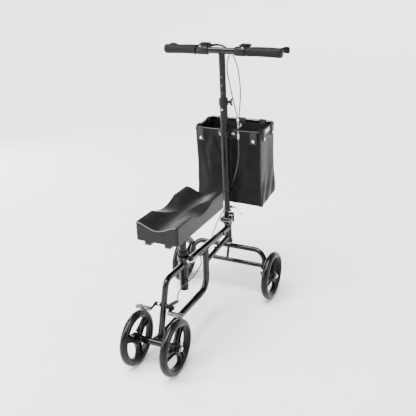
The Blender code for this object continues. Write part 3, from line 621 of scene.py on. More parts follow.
riser = Shape()
riser.sweep(fillet(RISER, 0.035, 16), RISER_RADIUS, 40)
riser.weld(mid(0.16, 0.3), (0, 1, -0.022), RISER_RADIUS, (0, SEAT_Y, 0), Z, HEAD_RADIUS, 0.0021)
riser.weld(mid(0.054, 0.17), (0, -0.276, -0.961), RISER_RADIUS, (0, 0, 0.1066), Y, KEEL_RADIUS, 0.0024)
riser.sleeve(0.0055, 0.008, -0.015, 0.015, BRAKE_PIVOT, X, 32)
riser.piece("riser_main_tube", "frame", "black_paint", PAINT, ("riser_tube",))

axle = Shape(at(*AXLE_PLACE))
axle.rod(0.0125, -0.0575, 0.0575, axis=X, sides=44, cut=0.0008)
for sign in (-1, 1):
    axle.slab([(0.006, 0.0138), (0.058, -0.0004), (0.056, -0.0118), (0.006, -0.01)], sign * 0.0142 - 0.0014,
        sign * 0.0142 + 0.0014, 0.0006)
axle.piece("rear_axle_sleeve", "frame", "black_paint", PAINT, ("rear_axle_tube",))

head = Shape(STEER)
head.sleeve(0.0129, HEAD_RADIUS, -0.078, -0.002)
head.turned(eased([(0.0129, -0.078), (0.0172, -0.078), (0.0172, -0.0715), (HEAD_RADIUS, -0.0705),
    (0.0129, -0.0705)]), closed=True)
head.piece("head_tube_outer", "frame", "black_paint", PAINT, ("head_tube",))
for name, low, high in (("lower", -0.0863, -0.0783), ("upper", -0.0017, 0.0055)):
    cup = Shape(STEER)
    middle = (low + high) / 2
    cup.turned([(0.0131, low), (0.0182, low), (0.019, low + 0.0008), (0.019, middle - 0.001),
        (0.0176, middle - 0.0004), (0.0176, middle + 0.0004), (0.019, middle + 0.001),
        (0.019, high - 0.0008), (0.0182, high), (0.0131, high)], sides=56, closed=True)
    cup.piece(f"head_bearing_{name}", "frame", "satin_tube", DARK_STEEL, (f"head_cup_{name}",))

lock = Shape(at(*mid(0.573, 0.2815)))
lock.sleeve(0.008, 0.0122, 0.0122, 0.0178, axis=X, sides=44, cut=0.001)
lock.rod(0.0079, 0.012, 0.0158, axis=X, sides=32, mark=1)
lock.piece("beam_stop_ring", "frame", "bright_steel", [DARK_STEEL, PLASTIC])

clips = Shape()
for y in (0.506, 0.532):
    foot = 0.2392 - (0.636 - y) * 0.075 + 0.009
    crown = [(0.005 * cos(a), 0.005 + 0.0042 * sin(a)) for a in arc(180, -20, 10)]
    clips.slab([(-0.005, 0.0), *crown, (0.005, 0.0)], -0.0045, 0.0075, 0.0009, turn=at(0, ahead(y), foot))
clips.piece("cable_clips", "frame", "black_plastic", PLASTIC)


# Seat socket

socket = Shape(SEAT)
socket.sleeve(0.014, 0.016, 0.198, 0.343, cut=0.0005)
socket.piece("seat_socket_sleeve", "frame", "satin_tube", SATIN, ("seat_sleeve",))
collar = Shape(SEAT)
collar.turned(eased([(0.0139, 0.3433), (0.0185, 0.3433), (0.0185, 0.35), (0.0172, 0.357), (0.0139, 0.357)],
    0.0007), closed=True)
collar.piece("seat_socket_collar", "frame", "black_plastic", PLASTIC, ("sleeve_collar",))
CLAMP_X, CLAMP_HEIGHT = 0.029, 0.328
clamp = Shape(SEAT)
clamp.sleeve(0.0163, 0.0212, 0.318, 0.338, cut=0.0009)
for sign in (-1, 1):
    clamp.block((0.018, 0.0076, 0.016), (0.027, sign * 0.0055, CLAMP_HEIGHT), 0.001)
clamp.rod(0.003, -0.014, 0.012, (CLAMP_X, 0, CLAMP_HEIGHT), Y, 24, 1, cut=0.0003)
clamp.hexagon(0.006, 0.0096, 0.0143, (CLAMP_X, 0, CLAMP_HEIGHT), Y, 1, washer=0.0064)
clamp.piece("seat_clamp_band", "frame", "satin_tube", [PAINT, STEEL], ("seat_clamp",))
lever = Shape(at(CLAMP_X, SEAT_Y - 0.0195, CLAMP_HEIGHT))
lever.sweep(fillet([(0, 0, 0), (0.0125, 0, 0), (0.0145, 0.014, 0), (0.0145, 0.054, 0)], 0.006, 8),
    [0.0035] * 19 + [0.0033], 24, edge=0.0012)
lever.rod(0.0045, -0.0065, 0.0065, sides=28, cut=0.0009)
lever.piece("seat_quick_lever", "seat_lever", "bright_steel", STEEL, ("seat_lever",))


# Steering

LEG = STEER.inverted() @ Vector(mid(0.6226, 0.12))
CROSS = STEER.inverted() @ Vector(mid(0.6256, 0.135))
ARCH_TOP, ARCH_HALF, ARCH_RADIUS, CROSS_RADIUS = -0.104, 0.168, 0.011, 0.0095
COLUMN_RADIUS = 0.0125
arch = Shape(STEER)
arch_path = fillet([(-ARCH_HALF, LEG.y, LEG.z), (-ARCH_HALF, 0, ARCH_TOP), (ARCH_HALF, 0, ARCH_TOP),
    (ARCH_HALF, LEG.y, LEG.z)], 0.05, 18)
arch.sweep(arch_path, ARCH_RADIUS, 40)
arch.weld((0, 0, -0.08), (0, 0, -1), COLUMN_RADIUS, (0, 0, ARCH_TOP), X, ARCH_RADIUS, 0.0021)
for sign in (-1, 1):
    arch.weld((sign * 0.12, CROSS.y, CROSS.z), (sign, 0, 0), CROSS_RADIUS, (sign * ARCH_HALF, LEG.y, LEG.z),
        Vector((0, LEG.y, LEG.z - ARCH_TOP)), ARCH_RADIUS, 0.0018)
arch.piece("front_arch_tube", "steering", "black_paint", PAINT, ("front_arch",))
cross = Shape(STEER)
cross.sweep([(-0.166, CROSS.y, CROSS.z), (0.166, CROSS.y, CROSS.z)], CROSS_RADIUS, 40)
cross.sweep([(0, CROSS.y, CROSS.z), (0, 0, ARCH_TOP)], 0.006, 28)
cross.weld((0, CROSS.y, CROSS.z + 0.02), (0, 0, -1), 0.006, (0, CROSS.y, CROSS.z), X, CROSS_RADIUS, 0.0014)
cross.piece("front_cross_bar", "steering", "black_paint", PAINT, ("front_cross_tube",))
column = Shape(STEER)
column.rod(COLUMN_RADIUS, ARCH_TOP, 0.0055)
column.sleeve(0.0126, 0.0168, -0.0905, -0.0868, sides=6, mark=1, cut=0.0005)
column.piece("steering_column", "steering", "satin_tube", [SATIN, STEEL], ("steer_column",))
for side, sign in SIDES:
    lug = Shape(STEER)
    ends = [(FRONT_AXLE.y + 0.0138 * sin(a), -0.2015 - 0.0134 * cos(a)) for a in arc(-80, 20, 9)]
    lug.slab([*ends, (FRONT_AXLE.y + 0.0118, -0.185), (FRONT_AXLE.y - 0.0118, -0.185)],
        sign * ARCH_HALF - 0.004, sign * ARCH_HALF + 0.004, 0.0007)
    lug.piece(f"front_axle_lug_{side}", "steering", "black_paint", PAINT, (f"front_lug_{side}",))

FOLD_Y, FOLD_HEIGHT = -0.0245, 0.0293
FOLD_PIN = (0, FOLD_Y, FOLD_HEIGHT)
base = Shape(STEER)
base.block((0.036, 0.0335, 0.024), (0, 0.00115, 0.0179), 0.0024)
EAR = [(-0.015, 0.006), (-0.015, 0.03), (-0.017, 0.0375), (-0.0245, 0.0385), (-0.03, 0.0362),
    (-0.0328, 0.032), (-0.0333, 0.027), (-0.032, 0.022), (-0.023, 0.012)]
for sign in (-1, 1):
    base.slab(EAR, sign * 0.01495 - 0.00305, sign * 0.01495 + 0.00305, 0.0012)
    base.hexagon(0.006, 0.0184, 0.0222, FOLD_PIN, (sign, 0, 0), 1, washer=0.0068)
    base.rod(0.0066, 0.0116, 0.0184, FOLD_PIN, (sign, 0, 0), 36)
base.turned([(0.0126, 0.0056), (0.018, 0.0056), (0.018, 0.0064), (0.0126, 0.0064)], closed=True)
base.rod(0.0029, -0.0195, 0.0195, (0, FOLD_Y - 0.0122, 0.0262), X, 24, 1, cut=0.0005)
base.piece("fold_bracket", "steering", "black_paint", [PAINT, DARK_STEEL], ("fold_base",))


# Folding block, latch and stem

block = Shape(STEER)
knuckle = [(FOLD_Y + 0.0082 * cos(a), FOLD_HEIGHT + 0.0082 * sin(a)) for a in arc(200, 24, 6)]
block.slab([(-0.0158, 0.0305), (0.018, 0.0305), (0.018, 0.058), (0.014, 0.062), (-0.014, 0.062),
    (-0.018, 0.05), *knuckle], -0.0114, 0.0114, 0.0016)
block.rod(0.0083, -0.0112, 0.0112, FOLD_PIN, X, 36)
for sign in (1, -1):
    block.hexagon(0.0052, 0.0122, 0.0158, (0, -0.006, 0.056), (sign, 0, 0), 1, washer=0.0064)
block.piece("fold_casting", "stem", "black_paint", [PAINT, STEEL], ("fold_block",))

lever = Shape(STEER @ at(0, 0.002, 0.047))
lever.turned(eased([(0, 0.0119), (0.006, 0.0119), (0.006, 0.02), (0.0072, 0.0218), (0.0072, 0.0285),
    (0, 0.0285)], 0.0007), axis=X, sides=36)
lever.slab([(-0.0052, 0.0035), (0.0052, 0.0035), (0.006, -0.008), (0.0046, -0.022), (0.004, -0.035),
    (0.001, -0.038), (-0.003, -0.0375), (-0.0048, -0.033), (-0.0052, -0.018)], 0.0225, 0.0284, 0.0014)
lever.hexagon(0.0042, 0.0286, 0.03, (0, 0, 0), X, 1)
lever.piece("fold_cam_lever", "fold_lever", "black_plastic", [PLASTIC, STEEL], ("fold_lever",))

LATCH = STEER @ at(0, -0.002, 0.08)
pin = Shape(LATCH)
pin.rod(0.0029, 0.013, 0.0405, axis=X, sides=24, cut=0.0003)
pin.turned(eased([(0, 0.04), (0.0052, 0.04), (0.0064, 0.0415), (0.0064, 0.045), (0.0048, 0.046), (0, 0.046)],
    0.0005), axis=X, sides=28)
pin.spring((0.027, 0, 0), X, 0.0125, 0.0044, 0.0007, 6)
lanyard = smooth_path([(0.046, -0.003, 0.001), (0.05, -0.008, -0.002), (0.057, -0.008, -0.017),
    (0.065, -0.008, -0.021)], 16)
pin.sweep(lanyard, 0.0007, 10, edge=0.0002)
pin.turned([(0.0006, -0.0036), (0.0022, -0.0031), (0.0034, -0.0016), (0.0038, 0), (0.0034, 0.0016),
    (0.0022, 0.0031), (0.0006, 0.0036)], (0.067, -0.008, -0.021), X, 24, 1)
pin.piece("latch_plunger", "latch_pin", "bright_steel", [STEEL, PLASTIC], ("latch_pin",))
sleeve = Shape(LATCH)
knurl = [(0.0066 - 0.0007 * (i % 2), 0.0136 + 0.0011 * i) for i in range(11)]
sleeve.turned([(0.0032, 0.0126), (0.0066, 0.0126), *knurl, (0.006, 0.0262), (0.0032, 0.0262)], axis=X,
    sides=36, closed=True)
sleeve.piece("latch_housing", "stem", "black_plastic", DARK_STEEL)

KNOB_HEIGHT, BUTTON_HEIGHT = 0.526, 0.498
foot = Shape(STEER)
foot.turned(eased([(0, 0.0623), (0.0125, 0.0623), (0.0125, 0.149), (0.0178, 0.149), (0.0178, 0.1627),
    (0, 0.1627)], 0.001))
foot.turned([(0.0126, 0.0619), (0.0148, 0.062), (0.014, 0.0648), (0.0126, 0.066)], closed=True, mark=1)
foot.piece("stem_lower_tube", "stem", "satin_tube", [SATIN, PAINT], ("stem_foot_tube",))
tube = Shape(STEER)
skin = [(0.0132, 0.163), (0.0132, 0.511), (0.0158, 0.511), (0.0158, 0.163), (0.0134, 0.163)]
tube.turned(eased(skin, 0.0004), sides=52)
tube.turned(eased([(0.0046, 0.0146), (0.0064, 0.0152), (0.0064, 0.0164), (0.0046, 0.0168)], 0.0003),
    (0, 0, BUTTON_HEIGHT), (0, -1, 0), 32, 1, closed=True)
tube.piece("stem_outer_tube", "stem", "satin_tube", [SATIN, DARK_STEEL], ("stem_tube",))
collar = Shape(STEER)
collar.turned(eased([(0.0133, 0.5113), (0.0185, 0.5113), (0.0185, 0.533), (0.0176, 0.534), (0.0176, 0.54),
    (0.0133, 0.541)], 0.0007), sides=52, closed=True)
collar.rod(0.006, 0.015, 0.024, (0, 0, KNOB_HEIGHT), X, 32)
collar.block((0.0012, 0.0012, 0.024), (-0.012, -0.014, 0.525), 0.0003, mark=1)
collar.piece("stem_clamp_collar", "stem", "black_plastic", [PLASTIC, DARK_STEEL], ("stem_collar",))
knob = Shape(STEER @ at(0, 0, KNOB_HEIGHT))
knob.turned(eased([(0, 0.0243), (0.006, 0.0243), (0.0052, 0.033), (0.0036, 0.036), (0, 0.0362)], 0.0005),
    axis=X, sides=32)
WING = [(0.0255, 0.0008), (0.0272, 0.007), (0.03, 0.0112), (0.0338, 0.0142), (0.0378, 0.0143),
    (0.0392, 0.0118), (0.0376, 0.0084), (0.0352, 0.0048), (0.0345, 0.0008)]
for sign in (-1, 1):
    knob.slab([(x, sign * z) for x, z in WING], -0.0026, 0.0026, 0.0011, plane="XZ")
knob.piece("wing_nut", "wing_knob", "black_plastic", PLASTIC, ("wing_knob",))
button = Shape(STEER @ at(0, 0, BUTTON_HEIGHT))
button.turned([(0.0036, 0.016), (0.0038, 0.0164), (0.0038, 0.0178), (0.0033, 0.0189), (0.002, 0.0194),
    (0.0005, 0.0195)], axis=(0, -1, 0), sides=28)
button.piece("spring_button", "height_button", "bright_steel", STEEL, ("height_button",))


# Handlebar


def on_tube(out, reach, height):
    """A circle drawn round a hole on the rear of an upright tube of this radius."""
    return [Vector((reach * cos(a), -sqrt(out**2 - (reach * cos(a)) ** 2), height + reach * sin(a)))
        for a in circle(28)]


INNER_RADIUS, LOW_HOLE, HOLE_STEP = 0.0127, 0.561, 0.0315
inner = Shape(BAR)
inner.rod(INNER_RADIUS, -0.321, -0.001, cut=0.0005)
for i in range(3):
    height = LOW_HOLE + HOLE_STEP * i - BAR_HEIGHT
    inner.sweep(on_tube(0.0126, 0.0042, height), 0.0004, 8, 1, closed=True)
    # Each hole is closed by a black disc in the sheath material, set just proud of the tube: painted shade in
    # place of the open hole.
    inner.rings([on_tube(out, reach, height) for out, reach in ((0.0128, 0.0002), (0.0128, 0.0041),
        (0.012, 0.0041))], 2)
inner.weld((0, 0, -0.05), Z, INNER_RADIUS, (0, 0, 0), X, COLUMN_RADIUS, 0.002, 3)
inner.piece("height_inner_tube", "bar", "satin_tube", [SATIN, DARK_STEEL, SHEATH, PAINT], ("height_tube",))
LEVER_X, LEVER_Y = 0.078, 0.046
bar = Shape(BAR)
bar.rod(COLUMN_RADIUS, -0.238, 0.238, axis=X, sides=44)
bar.piece("handlebar_tube", "bar", "black_paint", PAINT, ("handlebar",))
for side, sign in SIDES:
    axis = (sign, 0, 0)
    grip = Shape(BAR)
    outer = [(0.0132, 0.1045), (0.0172, 0.1047), (0.0178, 0.106), (0.0178, 0.1085), (0.0168, 0.11),
        (0.0166, 0.116), (0.0163, 0.14), (0.0164, 0.17), (0.017, 0.195), (0.0178, 0.215), (0.0182, 0.227),
        (0.0176, 0.2345), (0.0152, 0.2385), (0.01, 0.2395), (0, 0.2395)]
    rings = []
    for radius, along in outer:
        palm = max(0.0, min(1.0, (along - 0.15) / 0.07))
        ring = []
        for a in circle(48):
            flute = 1 - 0.012 * (0.5 + 0.5 * cos(16 * a)) * (0.112 < along < 0.235)
            reach = radius * flute * (1 + 0.05 * palm * cos(a))
            ring.append((sign * along, -reach * cos(a), reach * sin(a)))
        rings.append(ring)
    grip.rings(rings)
    grip.piece(f"hand_grip_{side}", "bar", "grip_rubber", GRIP, (f"grip_{side}",), 50)
    mount = Shape(BAR)
    mount.turned(eased([(0.0129, 0.054), (0.016, 0.054), (0.0175, 0.058), (0.0175, 0.096), (0.016, 0.1),
        (0.0129, 0.1)], 0.001), axis=axis, sides=44, closed=True)
    mount.block((0.015, 0.024, 0.015), (sign * 0.073, 0.0275, 0), 0.0028)
    mount.block((0.012, 0.012, 0.01), (sign * 0.073, 0.012, 0.013), 0.003)
    mount.rod(0.0034, -0.0088, 0.0088, (sign * LEVER_X, LEVER_Y, 0), Z, 24, 1)
    mount.turned(eased([(0, -0.001), (0.0042, -0.001), (0.0042, 0.008), (0.0034, 0.011), (0, 0.011)],
        0.0005), (sign * 0.066, 0.034, 0.0112), (-sign, 0, 0.05), 24, 1)
    mount.block((0.043, 0.03, 0.0095), (sign * 0.083, 0.033, 0.016), 0.0034)
    mount.block((0.012, 0.016, 0.013), (sign * 0.067, 0.033, 0.011), 0.003)
    for i in range(5):
        mount.block((0.0028, 0.024, 0.003), (sign * (0.069 + 0.007 * i), 0.033, 0.0212), 0.0008)
    boot = smooth_path(LEFT_CABLE, 72)[:15] if sign < 0 else smooth_path(RIGHT_CABLE, 72)[:9]
    mount.sweep(boot, [0.0052 - 0.0016 * i / len(boot) for i in range(len(boot))], 24, edge=0.001)
    mount.hexagon(0.0034, 0.0172, 0.0192, (sign * 0.086, 0, 0), (0, -0.5, 0.85), 1)
    mount.piece(f"lever_perch_{side}", "bar", "black_plastic", [PLASTIC, STEEL], (f"lever_mount_{side}",))
    hinge = BAR @ at(sign * LEVER_X, LEVER_Y, 0)
    blade = Shape(hinge)
    lean = tan(radians(3))
    thick = 0.0036
    rings = []
    for t in [i / 24 for i in range(25)]:
        along = -0.002 + t * 0.1715
        bow = 0.0045 + along * lean + 0.003 * sin(pi * t) - 0.0014 * t
        tall = 0.0066 + 0.0018 * sin(pi * min(t * 1.4, 1.0)) + 0.006 * max(0.0, min(1.0, (t - 0.8) / 0.1))
        tall *= 0.86 if t > 0.99 else 1.0
        ring = []
        for a in circle(20):
            out, rise = cos(a), sin(a)
            out = copysign(abs(out) ** 0.6, out)
            rise = copysign(abs(rise) ** 0.7, rise)
            ring.append((sign * along, bow + thick * out, tall * rise))
        rings.append(ring)
    blade.rings(rings)
    blade.block((0.02, 0.0105, 0.013), (0, 0, 0), 0.0024)
    blade.piece(f"lever_blade_{side}", f"brake_lever_{side}", "black_plastic", PLASTIC,
        (f"brake_lever_{side}",), 50)


# Seat

POST_TOP = 0.4465
post = Shape(SEAT)
post.rod(0.0135, 0.235, POST_TOP)
post.weld((0, 0, 0.42), Z, 0.0135, (0, 0, POST_TOP + 0.5), X, 0.5, 0.0018)
post.piece("seat_post_tube", "seat", "satin_tube", SATIN, ("seat_post",))
plate = Shape(SEAT)
plate.block((0.1, 0.2, 0.0048), (0, 0.014, 0.4493), 0.0012)
for sign in (-1, 1):
    plate.block((0.024, 0.3525, 0.0135), (sign * 0.038, -0.002, 0.4564), 0.0022)
    for y in (-0.07, 0.098):
        plate.hexagon(0.0052, -0.4466, -0.443, (sign * 0.038, y, 0), (0, 0, -1), 1, washer=0.007)
plate.piece("seat_rails", "seat", "black_paint", [PAINT, STEEL], ("seat_plate",))

PAD_LOW, PAD_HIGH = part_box("seat_pad")
PAD_HALF = PAD_HIGH.x
PAD_MIDDLE = (PAD_LOW.y + PAD_HIGH.y) / 2
PAD_REACH = (PAD_HIGH.y - PAD_LOW.y) / 2


def pad_top(x, y):
    """A lengthwise trough that a shallow cross scoop cuts, with a soft crease and a thin end lip."""
    trough = PAD_HIGH.z - 0.023 * cos(pi / 2 * min(1.0, abs(x) / PAD_HALF)) ** 2
    scoop = 0.5105 + 0.02 * ((y + 0.1196) / 0.082) ** 2
    soft = 0.0009  # how wide the crease is
    lip = 0.0007 * exp(-(((PAD_REACH - abs(y - PAD_MIDDLE)) / 0.004) ** 2))
    return min(trough, scoop) - soft * 0.45 * exp(-abs(trough - scoop) / soft) + lip


def squircle(turn, half_x, half_y, corner):
    """A point on a rectangle with round corners, at this share of the way round."""
    spans = [2 * (half_y - corner), pi / 2 * corner, 2 * (half_x - corner), pi / 2 * corner] * 2
    along = turn * sum(spans)
    starts = [(half_x, -half_y + corner), (half_x - corner, half_y - corner), (half_x - corner, half_y),
        (-half_x + corner, half_y - corner), (-half_x, half_y - corner),
        (-half_x + corner, -half_y + corner), (-half_x + corner, -half_y),
        (half_x - corner, -half_y + corner)]
    runs = [(0, 1), None, (-1, 0), None, (0, -1), None, (1, 0), None]
    for i, span in enumerate(spans):
        if along <= span or i == 7:
            break
        along -= span
    x, y = starts[i]
    if runs[i]:
        return x + runs[i][0] * along, y + runs[i][1] * along
    a = (i // 2) * pi / 2 + along / corner
    return x + corner * cos(a), y + corner * sin(a)


def build_pad():
    """Straight moulded sides with small edges, and a top grid that follows pad_top."""
    shape = Shape(at(0, PAD_MIDDLE, 0))
    turns = [k / 256 for k in range(256)]
    rings = []

    def ring(inset, share, height):
        out = []
        for t in turns:
            x, y = (v * share for v in squircle(t, PAD_HALF - inset, PAD_REACH - inset, 0.007))
            out.append((x, y, height(x, y + PAD_MIDDLE)))
        rings.append(out)

    for inset, rise in ((0.0024, 0.0), (0.0007, 0.0006), (0.0, 0.0022), (0.0, 0.01), (0.0, 0.02)):
        ring(inset, 1.0, lambda x, y, rise=rise: PAD_LOW.z + rise)
    for inset, drop in ((0.0, 0.012), (0.0, 0.003), (0.0003, 0.0014), (0.001, 0.0004), (0.0024, 0.0)):
        ring(inset, 1.0, lambda x, y, drop=drop: pad_top(x, y) - drop)
    for step in range(1, 44):
        ring(0.0024, 1 - step / 44, pad_top)
    shape.rings(rings)
    # A thin bead along the rear top edge in the lighter edge material: a painted highlight on the rear lip.
    y = -(PAD_REACH - 0.0011)
    xs = [(i / 32 * 2 - 1) * (PAD_HALF - 0.006) for i in range(33)]
    shape.sweep([(x, y, pad_top(x, y + PAD_MIDDLE) - 0.0007) for x in xs], 0.0014, 14, 1)
    return shape.piece("knee_pad", "seat", "pad_foam", [FOAM, PAINTED_LIP_HIGHLIGHT], ("seat_pad",), 44)


pad = build_pad()


# Bag

BAG_TOP, BAG_BOTTOM, BAG_REAR, BAG_FRONT, BAG_HALF = 0.402, 0.092, 0.0235, 0.188, 0.1435
BAG_MIDDLE = (BAG_REAR + BAG_FRONT) / 2
BAG_DEEP = (BAG_FRONT - BAG_REAR) / 2
CORNER = 0.008
BAG_ROUND, BAG_UP = 260, 70
TAB_HEIGHT = 0.403


def bump_at(value, centre, wide):
    return exp(-(((value - centre) / wide) ** 2))


def rear_folds(x, up):
    """How far the rear wall stands out: a fold by the cable, full panels, creases to the low corner."""
    hang = min(1.0, up * 7)
    push = -0.0075 * hang * bump_at(x, 0.004, 0.03)
    push -= 0.0062 * bump_at(x, 0.036, 0.01) * sin(pi * min(1.0, up * 1.1)) ** 2
    push += 0.0095 * bump_at(x, 0.09, 0.032) * bump_at(up, 0.5, 0.22)
    crease = up - (0.72 + 1.1 * max(0.0, x - 0.03) - 3.2 * max(0.0, x - 0.062) ** 1.5)
    push -= 0.0085 / (1 + exp(-crease / 0.018)) * (x > 0.02) * min(1.0, max(0.0, (x - 0.02) / 0.03))
    push += 0.0026 * bump_at(crease, -0.01, 0.025) * bump_at(x, 0.075, 0.04)
    push += 0.008 * bump_at(x, -0.086, 0.03) * bump_at(up, 0.6, 0.28)
    push -= 0.004 * bump_at(abs(x + 0.066) - 0.1 * up, 0.004, 0.01) * bump_at(up, 0.17, 0.11)
    push -= 0.0034 * bump_at(x + 0.115 - 0.05 * up, 0, 0.01) * bump_at(up, 0.42, 0.28)
    return push + 0.0012 * sin(80 * x + 19 * up) * bump_at(up, 0.85, 0.14)


def bag_point(turn, up):
    """A point of the hanging cloth: turn goes round the walls, up from the hem's top (0) to the floor (1)."""
    inset = 0.0012 + 0.0022 * bump_at(up, 0.5, 0.3)
    x, y = squircle(turn, BAG_HALF - inset, BAG_DEEP - inset, CORNER)
    nx, ny = x / BAG_HALF, y / BAG_DEEP
    hang = min(1.0, up * 4)
    away = min(1.0, (1 - abs(nx)) * 9) if abs(ny) > 0.9 else min(1.0, (1 - abs(ny)) * 7)
    if ny < -0.9:
        y -= away * rear_folds(x, up)
    elif ny > 0.9:
        billow = 0.0045 * sin(31 * x + 4 * up) * bump_at(up, 0.55, 0.3) * hang
        y += away * (billow + 0.002 * sin(84 * x - 18 * up) * bump_at(up, 0.86, 0.16))
    if abs(nx) > 0.9:
        dent = -0.005 * bump_at(y, 0.01, 0.035) * bump_at(up, 0.45, 0.3)
        ripple = 0.003 * sin(95 * (y + 0.16 * up)) * bump_at(up, 0.84, 0.17)
        x += copysign(1.0, nx) * away * hang * (dent + ripple)
    spread = up * up
    right_side = (nx + 1) / 2
    x += 0.003 * spread * nx
    y += spread * (0.01 * max(0.0, ny) - 0.003 * max(0.0, -ny))
    z = BAG_TOP - 0.001 - (BAG_TOP - BAG_BOTTOM - 0.002) * up
    z -= spread * (0.009 * right_side * max(0.0, -ny) - 0.004 * max(0.0, ny) * right_side)
    return Vector((x, y + BAG_MIDDLE, z))


def build_bag():
    shape = Shape(STEER)
    rings = []
    for j in range(BAG_UP + 1):
        up = j / BAG_UP
        rings.append([bag_point(k / BAG_ROUND, up) for k in range(BAG_ROUND)])
    low = rings[-1]
    for share in (0.985, 0.94, 0.85, 0.7, 0.5, 0.3, 0.12, 0.02):
        ring = []
        for point in low:
            x, y = point.x * share, BAG_MIDDLE + (point.y - BAG_MIDDLE) * share
            ripple = 0.0014 * sin(60 * x + 20 * y) * (1 - share)
            height = BAG_BOTTOM + (point.z - BAG_BOTTOM) * share - 0.0012 + 0.0024 * (1 - share) + ripple
            ring.append(Vector((x, y, height)))
        rings.append(ring)
    shape.rings(rings, capped=False)
    count = len(shape.points)
    shape.faces.append([count - BAG_ROUND + k for k in range(BAG_ROUND)])
    shape.marks.append(0)
    made = shape.piece("bag_cloth", "stem", "bag_nylon", [NYLON, LINING], ("bag",), 60)
    thick = made.modifiers.new("cloth", "SOLIDIFY")
    thick.thickness = 0.0016
    thick.offset = -1.0
    thick.material_offset = 1
    thick.use_rim = True
    return made


bag = build_bag()


def ring_path(inset, height, corner=CORNER, steps=96):
    out = []
    for k in range(steps):
        x, y = squircle(k / steps, BAG_HALF - inset, BAG_DEEP - inset, corner)
        out.append(Vector((x, y + BAG_MIDDLE, height)))
    return out


rim = Shape(STEER)
rim.sweep(ring_path(0.0004, 0.4046, 0.022), 0.0018, 14, closed=True)
rim.piece("bag_wire_rim", "stem", "bright_steel", DARK_STEEL, ("bag_rim",))

hem = Shape(STEER)
bands = []
for k in range(BAG_ROUND):
    top = bag_point(k / BAG_ROUND, 0.0)
    low_point = bag_point(k / BAG_ROUND, 0.034)
    out = Vector((top.x, (top.y - BAG_MIDDLE) * 1.6, 0)).normalized()
    bands.append([top + out * 0.0006 + Vector((0, 0, 0.0012)), top + out * 0.0018, low_point + out * 0.0018,
        low_point + out * 0.0004 - Vector((0, 0, 0.001)), low_point - out * 0.0026, top - out * 0.0026])
hem.rings(bands, closed=True)
hem.piece("bag_hem", "stem", "bag_nylon", NYLON, sharp=50)

straps = Shape(STEER)
snaps = Shape(STEER)
label = Shape(STEER)


def tab(place, run, out, wide, length, snap):
    """A webbing tab that folds over the wire and closes with a snap."""
    outline = [(0.0026, -length), (0.0036, -length + 0.0008), (0.004, -0.004), (0.004, 0.0024),
        (0.0026, 0.0054), (0.0, 0.0066), (-0.003, 0.0054), (-0.0044, 0.0026), (-0.0046, -0.016),
        (-0.0038, -0.016), (-0.0034, 0.0022), (-0.002, 0.0042), (0.0, 0.005), (0.0018, 0.0042),
        (0.0028, 0.0022), (0.0026, -0.004)]
    rings = []
    for share, tuck in ((-0.5, 0.0004), (-0.48, 0.0), (0.48, 0.0), (0.5, 0.0004)):
        spot = place + run * (wide * share)
        rings.append([spot + out * (a - tuck) + Vector((0, 0, b)) for a, b in outline])
    straps.rings(rings)
    for share in (-0.42, 0.42):
        for i in range(int(length / 0.003) - 1):
            spot = place + run * (wide * share) + out * 0.004 + Vector((0, 0, -0.002 - 0.003 * i))
            straps.sweep([spot, spot - Vector((0, 0, 0.0019))], 0.00035, 6, 1, edge=0.0001)
    dome = [(0.0001, 0.0036), (0.0062, 0.0036), (0.0066, 0.0044), (0.006, 0.0053), (0.0049, 0.0048),
        (0.004, 0.0052), (0.0024, 0.0062), (0.0001, 0.0065)]
    snaps.turned(dome, place - Vector((0, 0, snap)), out, 32)
    snaps.sleeve(0.0064, 0.0078, 0.0034, 0.0042, place - Vector((0, 0, snap)), out, 32, 1, cut=0.0002)


# Where each tab sits, which end it is on, its width and length, and how far down its snap is.
TABS = ((-0.116, -1, 0.03, 0.052, 0.041), (-0.027, -1, 0.022, 0.026, 0.011), (0.029, -1, 0.03, 0.03, 0.011),
    (0.112, -1, 0.03, 0.05, 0.036), (-0.09, 1, 0.028, 0.045, 0.034), (0.0, 1, 0.028, 0.045, 0.034),
    (0.09, 1, 0.028, 0.045, 0.034))
for x, end, wide, length, snap in TABS:
    place = Vector((x, BAG_REAR if end < 0 else BAG_FRONT, TAB_HEIGHT))
    tab(place, Vector(X), Vector((0, end, 0)), wide, length, snap)
for side in (-1, 1):
    for y, snap in ((0.056, 0.033), (0.152, 0.033)):
        tab(Vector((side * BAG_HALF, y, TAB_HEIGHT)), Vector(Y), Vector((side, 0, 0)), 0.026, 0.044, snap)
    for y in (BAG_REAR + 0.004, BAG_REAR + 0.022):
        middle = Vector((side * (BAG_HALF - 0.01), y, 0.405))
        straps.sweep([middle + Vector((side * 0.004 * cos(a), 0, 0.0075 * sin(a))) for a in circle(20)],
            0.0013, 10, closed=True)
straps.piece("bag_tabs", "stem", "bag_nylon", [WEBBING, PLASTIC], sharp=50)
snaps.piece("bag_snaps", "stem", "bright_steel", [STEEL, PLASTIC])
LABEL_EDGE = ((0, 0.067), (0, 0.115), (0.0007, 0.115), (0.0007, 0.067))
rings = []
for up in (0.0, 0.25, 0.5, 0.75, 1.0):
    reach = BAG_HALF + 0.0022 + 0.001 * sin(pi * up)
    z = TAB_HEIGHT - 0.015 * up
    rings.append([Vector((reach + deep, y, z)) for deep, y in LABEL_EDGE])
label.rings(rings)
label.piece("bag_care_label", "stem", "bag_nylon", LABEL)

seams = Shape(STEER)
quarter = [2 * (BAG_DEEP - CORNER), pi / 2 * CORNER, 2 * (BAG_HALF - CORNER), pi / 2 * CORNER]
half_way = sum(quarter)
corner_turns = [quarter[0] + quarter[1] / 2, quarter[0] + quarter[1] + quarter[2] + quarter[3] / 2]
for corner in [turn / (2 * half_way) for turn in corner_turns + [turn + half_way for turn in corner_turns]]:
    seams.sweep([bag_point(corner, j / BAG_UP) for j in range(3, BAG_UP)], 0.0014, 10)
seams.piece("bag_corner_piping", "stem", "bag_nylon", WEBBING)

